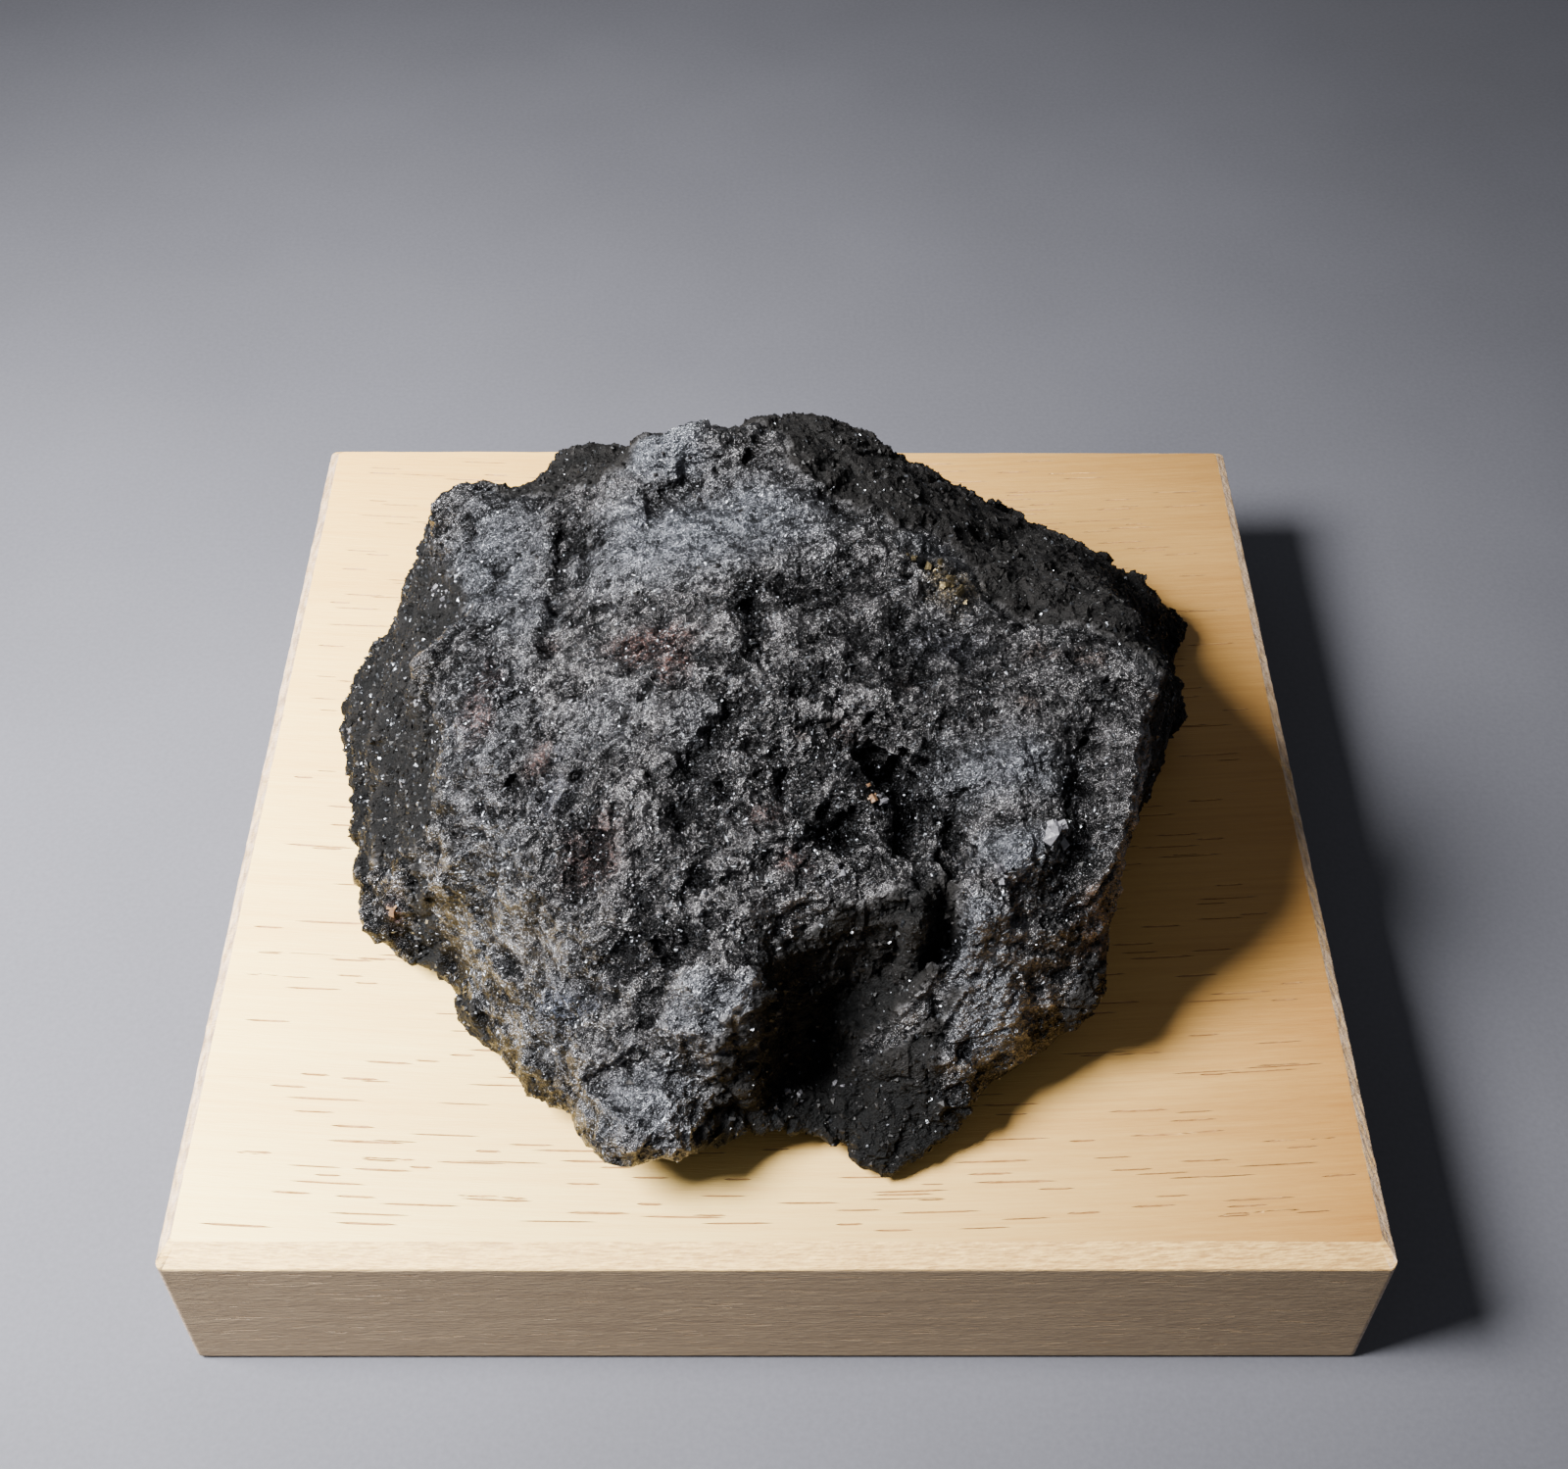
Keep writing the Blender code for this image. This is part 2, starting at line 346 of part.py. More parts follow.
def specimen_points():
    """Rings of points from the middle of the top, over the rim, to the middle underneath."""
    angles = np.arange(AROUND) * 2 * math.pi / AROUND
    ux, uy = np.cos(angles), np.sin(angles)
    rim_r, rim_h = outline(RIM, angles)
    belly_r, belly_h = outline(BELLY, angles)
    foot_r, foot_h = outline(FOOT, angles)
    rings = []
    for i in range(1, TOP_RINGS + 1):
        share = i / TOP_RINGS
        x = SPINE[0] + ux * rim_r * share
        y = SPINE[1] + uy * rim_r * share
        rings.append(np.column_stack([x, y, surface_height(x, y)]))
    edge_h = rings[-1][:, 2]
    for i in range(1, FLANK_RINGS + 1):
        t = i / FLANK_RINGS
        outward = smooth(np.array(t / BELLY_REACHED))
        tuck = max(0.0, (t - TUCK_START) / (1.0 - TUCK_START)) ** TUCK_POWER
        settle = max(0.0, (t - FOOT_START) / (1.0 - FOOT_START)) ** FOOT_POWER
        radius = rim_r + (belly_r - rim_r) * np.sin(outward * math.pi / 2)
        height = edge_h + (belly_h - edge_h) * min(1.0, t / BELLY_LEVEL)
        radius = radius + (foot_r - radius) * tuck
        height = height + (foot_h - height) * settle
        rings.append(np.column_stack([SPINE[0] + ux * radius, SPINE[1] + uy * radius, height]))
    for i in range(1, UNDER_RINGS):
        share = 1.0 - i / UNDER_RINGS
        hollow = UNDER_HOLLOW * math.sin((1.0 - share) * math.pi / 2)
        height = foot_h * share + hollow
        rings.append(np.column_stack([SPINE[0] + ux * foot_r * share,
                                      SPINE[1] + uy * foot_r * share, height]))
    top = (SPINE[0], SPINE[1], float(surface_height(np.array([SPINE[0]]), np.array([SPINE[1]]))[0]))
    under = (SPINE[0], SPINE[1], UNDER_HOLLOW)
    return rings, top, under


def breakage(point):
    """Outward offset that breaks a smooth surface into flat-sided blocks and rough patches."""
    offset = 0.0
    for index, (size, tilt) in enumerate(FRACTURE):
        place = point / size + PATTERN_START + FRACTURE_SHIFT * index
        _, centres = noise.voronoi(place)
        lean = noise.cell_vector(centres[0] * LEAN_SPREAD) - Vector((0.5, 0.5, 0.5))
        offset += (place - centres[0]).dot(lean) * 2.0 * tilt * size
    for index, (size, amount) in enumerate(ROUGHNESS):
        place = point / size + PATTERN_START + ROUGHNESS_SHIFT * index
        offset += noise.noise(place) * amount
    return offset


def add_material(name, colour, roughness, metallic):
    material = bpy.data.materials.new(name)
    material.use_nodes = True
    shader = material.node_tree.nodes["Principled BSDF"]
    shader.inputs["Base Color"].default_value = (*colour, 1.0)
    shader.inputs["Roughness"].default_value = roughness
    shader.inputs["Metallic"].default_value = metallic
    return material


def add_object(name, vertices, faces, material):
    mesh = bpy.data.meshes.new(name)
    mesh.from_pydata([tuple(c * MM for c in v) for v in vertices], [], faces)
    mesh.update()
    shape = bmesh.new()
    shape.from_mesh(mesh)
    bmesh.ops.recalc_face_normals(shape, faces=shape.faces)
    shape.to_mesh(mesh)
    shape.free()
    thing = bpy.data.objects.new(name, mesh)
    bpy.context.scene.collection.objects.link(thing)
    mesh.materials.append(material)
    return thing


def block_loop(insets, heights):
    """One loop round the block; insets and heights are for the right, back, left and front."""
    radius = BLOCK_CORNER_ROUND
    reach = [BLOCK_WIDTH / 2 - inset - radius for inset in insets]
    loop = []
    for quarter in range(4):
        after = (quarter + 1) % 4
        turn = quarter * math.pi / 2
        for step in range(CORNER_STEPS + 1):
            share = step / CORNER_STEPS
            px = reach[quarter] + radius * math.cos(share * math.pi / 2)
            py = reach[after] + radius * math.sin(share * math.pi / 2)
            loop.append((px * math.cos(turn) - py * math.sin(turn),
                         px * math.sin(turn) + py * math.cos(turn),
                         heights[quarter] + (heights[after] - heights[quarter]) * share))
    return loop


def build_block():
    """Square block: its top edge is chamfered, more in front than on the other sides."""
    foot = BLOCK_FOOT_ROUND
    loops = [block_loop([inset] * 4, [height] * 4)
             for inset, height in [(foot, 0.0), (foot * 0.3, foot * 0.3), (0.0, foot)]]
    for run_share, drop_share, soft in CHAMFER_LEVELS:
        loops.append(block_loop([run * run_share for run, _ in CHAMFERS],
                                [BLOCK_THICKNESS - drop * drop_share - soft for _, drop in CHAMFERS]))
    ring = len(loops[0])
    vertices = [point for loop in loops for point in loop]
    faces = [list(range(ring))[::-1], list(range(ring * (len(loops) - 1), ring * len(loops)))]
    for level in range(len(loops) - 1):
        for i in range(ring):
            j = (i + 1) % ring
            low = level * ring
            faces.append([low + i, low + j, low + ring + j])
            faces.append([low + i, low + ring + j, low + ring + i])
    wood = add_material("pale wood", (0.62, 0.47, 0.29), 0.55, 0.0)
    return add_object("stand", vertices, faces, wood)


def build_specimen():
    rings, top, under = specimen_points()
    base = BLOCK_THICKNESS + LIFT
    vertices = [(p[0], p[1], p[2] + base) for ring in rings for p in ring]
    first = len(vertices)
    vertices.append((top[0], top[1], top[2] + base))
    vertices.append((under[0], under[1], under[2] + base))
    faces = []
    for r in range(len(rings) - 1):
        for i in range(AROUND):
            j = (i + 1) % AROUND
            low = r * AROUND
            faces.append([low + i, low + AROUND + i, low + AROUND + j, low + j])
    last = (len(rings) - 1) * AROUND
    for i in range(AROUND):
        j = (i + 1) % AROUND
        faces.append([first, i, j])
        faces.append([first + 1, last + j, last + i])
    stone = add_material("dark sulphide rock", (0.09, 0.09, 0.10), 0.42, 0.55)
    thing = add_object("specimen", vertices, faces, stone)
    mesh = thing.data
    normals = [v.normal.copy() for v in mesh.vertices]
    for vertex, normal in zip(mesh.vertices, normals):
        point = vertex.co / MM
        above = point.z - BLOCK_THICKNESS
        calm = float(smooth((above - CALM_FROM) / CALM_OVER))
        offset = breakage(point) * calm
        vertex.co = (point + normal * offset) * MM
        vertex.co.z = max(vertex.co.z, (BLOCK_THICKNESS + LIFT) * MM)
    skin = thing.modifiers.new("even skin", "REMESH")
    skin.mode = "VOXEL"
    skin.voxel_size = SKIN * MM
    facets = thing.modifiers.new("facets", "DECIMATE")
    facets.ratio = FACET_SHARE
    return thing


for old in list(bpy.data.objects):
    bpy.data.objects.remove(old, do_unlink=True)
build_block()
build_specimen()
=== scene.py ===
"""Looks of the plagionite specimen and its wooden display block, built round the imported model.

Sizes in the tables are millimetres; the scene is in metres with +Z up.
X is to the right, Y to the back, and the origin is the middle of the block's underside.
"""

import math

import bmesh
import bpy
import numpy as np
from mathutils import Matrix, Vector, geometry, noise
from mathutils.bvhtree import BVHTree


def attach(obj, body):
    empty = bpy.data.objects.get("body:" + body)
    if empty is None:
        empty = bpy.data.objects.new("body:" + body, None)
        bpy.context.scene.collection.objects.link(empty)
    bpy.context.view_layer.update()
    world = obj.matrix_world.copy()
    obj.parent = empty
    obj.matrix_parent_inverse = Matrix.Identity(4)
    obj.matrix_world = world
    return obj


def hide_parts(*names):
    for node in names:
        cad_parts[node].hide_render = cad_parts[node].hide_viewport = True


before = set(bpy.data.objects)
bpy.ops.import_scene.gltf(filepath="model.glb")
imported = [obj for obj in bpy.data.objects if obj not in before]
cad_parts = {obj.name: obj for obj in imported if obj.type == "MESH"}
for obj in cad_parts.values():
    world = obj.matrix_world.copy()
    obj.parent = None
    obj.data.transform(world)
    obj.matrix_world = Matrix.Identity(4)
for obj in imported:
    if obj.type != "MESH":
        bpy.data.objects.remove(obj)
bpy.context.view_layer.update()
MM = 0.001
SEED = 11
FAR = 1e9

# ---- display block ---------------------------------------------------------
BLOCK_WIDTH = 100.0
BLOCK_THICKNESS = 17.0
# Chamfer round the top, on the right, back, left and front: (run in from the side, drop)
CHAMFERS = [(1.0, 0.45), (0.35, 0.35), (1.0, 0.45), (2.1, 1.0)]
BLOCK_CORNER_ROUND = 0.5
WALL_DROP = 1.3           # the block's walls start this far below its top

# ---- specimen: rings of samples --------------------------------------------
LIFT = 0.05               # clearance of the lowest point above the block
SPINE = (-2.0, -10.0)     # plan point the shape is built round
AROUND = 640              # samples round the specimen
TOP_RINGS = 130           # samples from the spine point to the rim
FLANK_RINGS = 40          # samples from the rim down to the foot
UNDER_RINGS = 14          # samples across the underside
BELLY_REACHED = 0.55      # share of the flank at which it is widest
BELLY_LEVEL = 0.6         # share of the flank at which it has come down to the belly's height
TUCK_START = 0.45         # share of the flank at which it starts to turn in to the foot
TUCK_POWER = 1.7
FOOT_START = 0.3          # share of the flank at which it starts to come down to the foot's height
FOOT_POWER = 1.5
UNDER_HOLLOW = 1.6        # rise of the underside from its edge to its middle
FACE_SOFTNESS = 1.2       # rounding of the modelled high and low points
CAVITY_SOFTNESS = 0.8
TERRACE_SOFTNESS = 1.0
LEDGE_FADE = 0.15         # share of a ledge's length over which each end fades
GROOVE_FADE = 0.2
GROOVE_END = 0.35         # share of a groove's depth that is left at its ends
SKIN = 0.30               # even mesh size that the fine relief is cut into
SKIN_SMOOTHINGS = (2, 0.5)      # times, and pull towards the neighbours each time
RECESS_SMOOTHINGS = (14, 0.6)   # a recess is what these smoothings would fill
RECESS_DEPTH = 0.5        # depth at which a recess gets the full painted shade
FOOT_CALM = (0.3, 2.0)    # height where the fine relief starts, and run over which it grows
ROCK_TRIANGLES = 192000

# Each point is (x, y, height above the block).
# Rim: where the upper surface turns over into the flanks.
RIM_FRONT_RIGHT = [
    (8.8, -41.5, 2.5), (12.0, -39.8, 4.5), (13.7, -38.2, 6.6), (16.5, -36.2, 8.0),
    (20.5, -33.4, 9.5), (22.6, -31.2, 13.0), (24.2, -28.6, 18.0), (25.5, -27.4, 20.5),
    (27.3, -25.2, 23.2)]
RIM_RIGHT = [
    (28.5, -21.6, 26.4), (29.3, -17.5, 28.2), (31.0, -12.4, 28.2), (32.1, -8.2, 26.6),
    (33.2, -4.0, 22.6), (34.3, 0.4, 17.6), (35.7, 4.6, 12.0), (36.9, 8.2, 7.4), (38.2, 12.4, 4.6),
    (39.5, 16.6, 3.4), (41.1, 20.0, 2.9)]
RIM_BACK = [
    (39.0, 21.6, 4.4), (35.0, 22.8, 6.8), (30.0, 23.4, 9.6), (24.0, 25.0, 12.0),
    (16.0, 26.5, 16.0), (8.0, 27.5, 17.0), (0.0, 28.0, 17.0), (-8.0, 29.5, 16.5),
    (-15.0, 30.2, 16.5), (-20.0, 29.4, 16.5), (-24.5, 26.5, 16.0), (-28.0, 23.5, 15.0),
    (-32.0, 22.5, 13.0), (-34.8, 21.0, 11.0)]
RIM_LEFT = [
    (-35.8, 16.5, 9.5), (-38.3, 12.3, 7.5), (-40.0, 9.0, 6.8), (-40.4, 5.0, 6.5),
    (-39.9, 1.3, 6.3), (-38.8, -2.5, 5.6), (-37.2, -7.2, 6.0), (-36.6, -12.3, 7.0),
    (-36.0, -17.0, 7.4), (-35.2, -20.6, 6.6), (-32.6, -21.4, 6.0), (-30.2, -22.2, 5.4),
    (-28.6, -24.0, 5.2), (-27.0, -26.0, 5.2), (-26.0, -28.8, 5.8), (-24.0, -31.8, 6.4)]
RIM_FRONT = [
    (-20.2, -36.6, 7.2), (-18.0, -38.4, 7.8), (-16.4, -39.7, 8.4), (-15.0, -42.4, 8.8),
    (-13.6, -44.0, 9.2), (-11.3, -44.9, 9.4), (-8.2, -44.7, 9.4), (-6.4, -42.6, 9.0),
    (-4.8, -41.0, 7.8), (-1.5, -39.7, 6.2), (3.0, -38.4, 4.6), (5.6, -39.4, 3.8),
    (7.3, -41.2, 3.0)]
RIM = RIM_FRONT_RIGHT + RIM_RIGHT + RIM_BACK + RIM_LEFT + RIM_FRONT

# Belly: the widest line of the flanks.
BELLY = [
    (9.0, -42.5, 1.4), (12.5, -41.0, 2.8), (15.0, -39.0, 4.0), (18.0, -36.0, 5.5),
    (21.0, -34.0, 6.5), (24.5, -32.0, 7.5), (27.0, -29.0, 8.0), (27.9, -24.0, 8.0),
    (28.8, -19.5, 8.0), (30.6, -15.0, 9.5), (31.6, -11.6, 10.5), (33.2, -8.6, 10.0),
    (34.4, -5.2, 9.0), (35.2, -1.0, 7.0), (36.2, 3.0, 5.4), (38.0, 6.0, 4.2), (38.6, 9.5, 3.0),
    (38.8, 12.8, 2.4), (40.0, 17.0, 2.2), (41.8, 20.6, 1.8), (39.6, 22.8, 2.6), (35.0, 24.6, 5.0),
    (29.5, 27.0, 7.0), (22.0, 28.5, 8.0), (12.0, 29.5, 9.0), (2.0, 30.3, 9.0), (-8.0, 31.5, 9.0),
    (-17.0, 31.8, 9.5), (-24.5, 29.0, 9.0), (-31.0, 26.0, 8.0), (-35.8, 22.4, 7.6),
    (-37.6, 16.5, 6.4), (-39.2, 12.2, 5.4), (-41.0, 8.6, 4.8), (-41.4, 5.0, 4.4),
    (-40.8, 1.4, 4.2), (-39.8, -2.5, 3.8), (-38.2, -7.0, 3.8), (-37.6, -12.2, 4.8),
    (-37.0, -17.0, 5.6), (-36.0, -21.2, 5.0), (-32.6, -22.4, 4.2), (-30.4, -23.2, 3.8),
    (-29.0, -24.4, 3.6), (-27.6, -26.2, 3.6), (-26.9, -28.8, 4.0), (-24.4, -32.0, 4.6),
    (-20.4, -37.0, 5.2), (-18.0, -38.8, 5.6), (-16.6, -40.0, 6.2), (-15.2, -42.8, 7.2),
    (-13.7, -44.4, 7.8), (-11.4, -45.2, 8.0), (-8.0, -45.0, 8.0), (-6.0, -43.0, 6.8),
    (-4.4, -41.6, 5.8), (-1.2, -40.3, 4.6), (3.0, -39.0, 3.2), (5.8, -40.2, 2.4),
    (7.4, -42.0, 1.8)]

# Foot: the outline the specimen stands on.
FOOT = [
    (8.7, -41.2, 0.4), (12.0, -37.4, 1.0), (17.0, -32.5, 0.8), (22.5, -27.5, 0.6),
    (26.5, -18.0, 0.8), (29.5, -8.0, 0.5), (33.5, 0.0, 0.4), (37.0, 7.0, 0.3), (37.6, 13.0, 0.4),
    (39.6, 18.6, 0.4), (34.0, 22.5, 0.6), (25.0, 24.5, 0.9), (10.0, 26.0, 0.7), (-5.0, 27.5, 0.5),
    (-18.0, 27.5, 0.6), (-28.0, 22.5, 0.8), (-34.5, 13.5, 0.4), (-38.2, 5.0, 0.4),
    (-37.6, -3.0, 0.5), (-34.6, -12.0, 0.6), (-31.5, -18.0, 1.2), (-25.5, -25.0, 0.8),
    (-21.0, -30.5, 0.9), (-13.0, -34.5, 2.2), (-5.0, -35.0, 1.8), (1.0, -35.0, 1.0),
    (5.5, -38.0, 0.7)]

# Upper face, from the back crest down to the front lobe.
CREST = [
    (-32.0, 14.5, 22.5), (-29.5, 16.6, 24.0), (-25.2, 13.8, 25.0), (-19.3, 11.8, 27.0),
    (-16.9, 10.5, 29.0), (-13.0, 9.6, 31.2), (-11.0, 11.4, 32.9), (-8.8, 12.2, 34.1),
    (-7.0, 12.6, 34.1), (-5.0, 12.8, 33.2), (-3.0, 14.8, 32.0), (0.6, 14.0, 32.2),
    (2.2, 20.4, 28.8), (8.2, 19.8, 26.8), (12.6, 18.0, 25.0), (15.7, 15.6, 24.0),
    (20.5, 15.0, 22.0), (25.0, 14.6, 19.8), (28.0, 15.6, 17.6), (32.0, 16.8, 12.8),
    (36.4, 18.6, 8.4)]
CREST_HOLLOW = [(-11.0, 9.6, 30.0), (-8.0, 10.4, 30.4), (-5.2, 10.8, 30.8), (-2.4, 11.4, 31.4)]
FACE = [
    (-29.5, 9.0, 22.5), (-24.0, 6.0, 24.5), (-17.0, 2.0, 27.0), (-8.0, 5.0, 30.5),
    (1.4, 8.2, 32.5), (8.9, 4.2, 31.0), (-2.7, -14.6, 29.5), (-9.0, -6.0, 29.5),
    (-15.3, -17.2, 26.5), (-23.0, -6.0, 25.0), (-24.0, -17.0, 22.5), (-15.0, -28.4, 22.0),
    (8.4, -13.7, 28.5), (16.3, -17.2, 27.0), (16.1, -25.0, 24.0), (19.4, -5.2, 28.5),
    (23.5, -14.0, 28.4), (22.6, -21.0, 26.0), (5.0, -22.0, 26.0), (-3.0, -24.0, 25.5),
    (-8.0, -33.0, 20.5), (-11.0, -37.0, 16.5), (-20.0, -31.0, 13.5)]
FACE_RIGHT_EDGE = [
    (27.4, -6.6, 29.0), (29.0, -11.0, 29.2), (27.8, -17.0, 27.8), (26.2, -23.0, 24.4),
    (24.2, -26.6, 21.6), (21.0, -30.0, 17.4)]
FACE_LEFT_EDGE = [
    (-31.6, 7.0, 20.5), (-30.0, 6.4, 21.5), (-31.8, -4.0, 22.0), (-30.8, -6.0, 20.6),
    (-29.3, -13.0, 21.0), (-29.5, -15.5, 19.0), (-30.0, -18.6, 14.0), (-28.6, -22.0, 12.6),
    (-24.6, -28.2, 10.4), (-20.4, -34.6, 10.0)]
LEFT_FLANK = [
    (-34.0, 11.0, 13.5), (-34.2, 6.6, 14.0), (-35.4, -1.6, 13.0), (-37.6, 1.8, 10.0),
    (-37.6, -3.0, 9.0), (-34.2, -9.4, 12.0), (-33.6, -14.6, 11.0), (-34.2, -18.6, 9.0),
    (-32.6, -20.4, 8.2)]
BACK_LEFT = [
    (-21.5, 20.6, 21.8), (-18.0, 22.4, 21.2), (-14.6, 22.4, 21.6), (-24.4, 17.8, 22.2),
    (-20.9, 27.6, 18.4), (-16.4, 28.4, 18.6), (-13.8, 25.8, 20.2), (-9.0, 20.0, 24.5),
    (-4.0, 22.0, 25.0), (-10.2, 14.0, 32.0), (-6.4, 15.0, 32.1)]
BACK_RIGHT = [
    (5.0, 13.0, 30.5), (9.0, 10.5, 29.6), (13.5, 9.0, 28.2), (17.0, 6.6, 27.0), (20.5, 7.5, 24.6),
    (23.4, 2.6, 25.6), (27.0, 4.2, 23.8), (28.0, -0.8, 26.6), (30.8, -2.8, 25.6),
    (32.4, 3.2, 19.2), (30.2, 9.5, 18.8), (35.2, 12.6, 10.8)]
LOBE = [
    (-4.8, -39.6, 12.8), (-2.2, -37.4, 15.0), (-1.0, -35.6, 17.8), (-0.3, -32.6, 20.4),
    (-12.0, -41.8, 11.4), (-8.0, -41.0, 12.2)]
SHELF = [(4.3, -30.4, 22.0), (10.0, -28.8, 22.2), (13.0, -26.4, 22.0), (16.0, -30.2, 20.6)]
FLAP = [(14.6, -33.6, 14.6), (18.0, -33.0, 14.0), (14.6, -35.6, 11.2), (14.2, -37.2, 8.2)]
FACE_POINTS = (RIM + CREST + CREST_HOLLOW + FACE + FACE_RIGHT_EDGE + FACE_LEFT_EDGE + LEFT_FLANK
               + BACK_LEFT + BACK_RIGHT + LOBE + SHELF + FLAP)

# Cavity in the front, a steep walled bite with its own floor.
CAVITY_EDGE = [
    (-4.6, -46.0), (-5.0, -42.8), (-4.9, -40.2), (-1.9, -38.8), (-1.2, -36.8), (-0.4, -35.8),
    (-0.1, -33.4), (1.6, -32.5), (4.3, -31.1), (6.6, -30.1), (8.9, -29.9), (10.4, -29.3),
    (10.0, -31.2), (11.0, -31.4), (11.8, -28.6), (13.2, -27.8), (14.2, -29.2), (15.0, -31.0),
    (14.4, -31.5), (12.1, -31.8), (11.6, -32.6), (12.3, -33.5), (14.6, -34.1), (13.8, -35.1),
    (13.2, -36.4), (13.4, -37.8), (12.7, -39.0), (16.0, -46.0)]
CAVITY_FLOOR = [
    (1.2, -33.4, 9.0), (4.5, -32.3, 9.6), (8.6, -31.0, 12.2), (11.4, -30.2, 14.4),
    (13.6, -29.6, 15.4), (8.5, -33.0, 11.0), (11.6, -33.6, 13.2), (11.6, -35.4, 9.8),
    (7.4, -34.6, 8.4), (4.2, -34.0, 6.8), (0.8, -35.6, 6.6), (3.2, -35.4, 5.4), (-2.6, -38.6, 6.8),
    (0.6, -37.8, 5.4), (6.0, -36.4, 5.8), (4.0, -38.2, 4.4), (8.4, -39.4, 5.2), (9.2, -41.2, 3.0),
    (12.4, -38.6, 5.0), (-4.6, -40.8, 7.4), (10.6, -37.0, 7.0), (5.8, -39.6, 3.6)]
CAVITY_WALL = 0.7         # run of the wall from edge to floor

# Terrace of matrix on the left, below the edge of the upper face.
TERRACE_EDGE = [
    (-33.6, 13.4), (-31.8, 11.4), (-30.4, 9.2), (-29.6, 7.0), (-28.0, 4.6), (-28.1, 1.4),
    (-30.4, -0.3), (-32.3, -2.8), (-32.3, -4.8), (-30.6, -6.4), (-29.4, -8.0), (-29.0, -11.6),
    (-29.1, -15.6), (-28.5, -17.2), (-29.8, -17.8), (-31.2, -18.2), (-33.4, -16.4), (-35.6, -15.4),
    (-38.0, -14.6), (-48.0, -14.0), (-48.0, 14.0)]
TERRACE_FLOOR = [
    (-31.9, 11.0, 16.8), (-30.4, 7.6, 18.2), (-32.3, 3.4, 16.6), (-30.0, 2.4, 17.8),
    (-33.6, -0.2, 15.2), (-31.2, -8.2, 15.8), (-31.4, -9.2, 15.0), (-30.6, -13.2, 15.0),
    (-32.0, -13.6, 13.0), (-34.0, -13.2, 10.2), (-34.4, 10.2, 13.6), (-35.7, 4.0, 12.2),
    (-35.4, -2.8, 12.0), (-35.4, -8.2, 9.8), (-37.6, -8.2, 6.2), (-38.3, 2.4, 9.0),
    (-38.3, -2.8, 8.0), (-33.2, 15.2, 15.0),
    (-36.0, 16.4, 9.3)] + RIM_LEFT[1:6] + [(-36.8, -12.3, 6.8)]
TERRACE_WALL = 0.8

# ---- relief on the upper face ----------------------------------------------
# Ledge: path, drop, run, reach. The ground on the left of the path is lower.
LEDGES = [
    ([(-17.5, 10.0), (-19.5, 9.0), (-20.0, 6.5), (-19.5, 2.5), (-19.8, -1.0), (-20.5, -4.5),
      (-19.0, -8.5)], 1.9, 0.7, 5.0),
    ([(-3.0, -14.5), (-5.5, -17.0), (-7.5, -20.0), (-8.5, -23.0), (-8.3, -26.5)], 2.1, 1.6, 8.0),
    ([(9.5, 1.0), (3.0, -1.0), (-1.5, -2.5)], 1.3, 0.9, 4.5),
    ([(28.0, -11.0), (25.0, -18.0), (23.5, -21.5), (23.0, -24.5), (20.5, -27.0), (20.0, -29.5),
      (21.0, -30.8)], 2.0, 2.0, 5.0),
    ([(1.0, 9.0), (4.0, 6.5), (7.0, 4.5), (10.0, 3.2), (13.0, 4.2), (16.0, 2.5), (17.2, -2.0),
      (21.0, -5.2), (25.0, -6.0), (28.0, -6.8)], 1.4, 0.9, 4.0),
    ([(32.4, 14.0), (34.2, 10.5), (36.2, 7.0)], 1.6, 0.8, 4.0),
    ([(-26.5, 1.0), (-28.0, -2.0), (-30.6, -5.0)], 0.9, 0.8, 4.0),
    ([(15.5, -21.0), (13.0, -23.5), (13.4, -27.5)], 1.2, 1.0, 3.5),
]
# Groove: path, width, depth.
GROOVES = [
    ([(5.5, -16.5), (7.0, -18.0), (9.5, -20.0), (11.0, -21.5), (10.2, -24.5), (11.0, -27.0)],
     1.7, 2.6),
    ([(16.0, -23.5), (19.5, -24.0), (23.0, -22.0)], 0.7, 0.9),
    ([(-14.0, -38.6), (-11.0, -39.5), (-8.0, -40.0), (-5.0, -39.6), (-2.4, -38.2)], 1.0, 1.9),
    ([(13.0, -33.0), (16.0, -33.1), (20.5, -31.4)], 0.6, 0.9),
    ([(-30.8, -17.0), (-31.0, -19.0), (-31.0, -21.0), (-30.2, -23.0)], 0.8, 2.0),
    ([(-1.5, -4.5), (-2.0, -8.5), (-1.4, -11.5)], 1.0, 1.1),
    ([(-18.4, 7.5), (-16.6, 5.0), (-17.0, 2.0)], 0.6, 0.9),
    ([(-13.0, -34.0), (-8.0, -33.6), (-5.5, -33.0)], 1.0, 0.9),
    ([(-9.5, -35.5), (-10.5, -37.0), (-10.8, -38.6)], 0.8, 0.9),
]
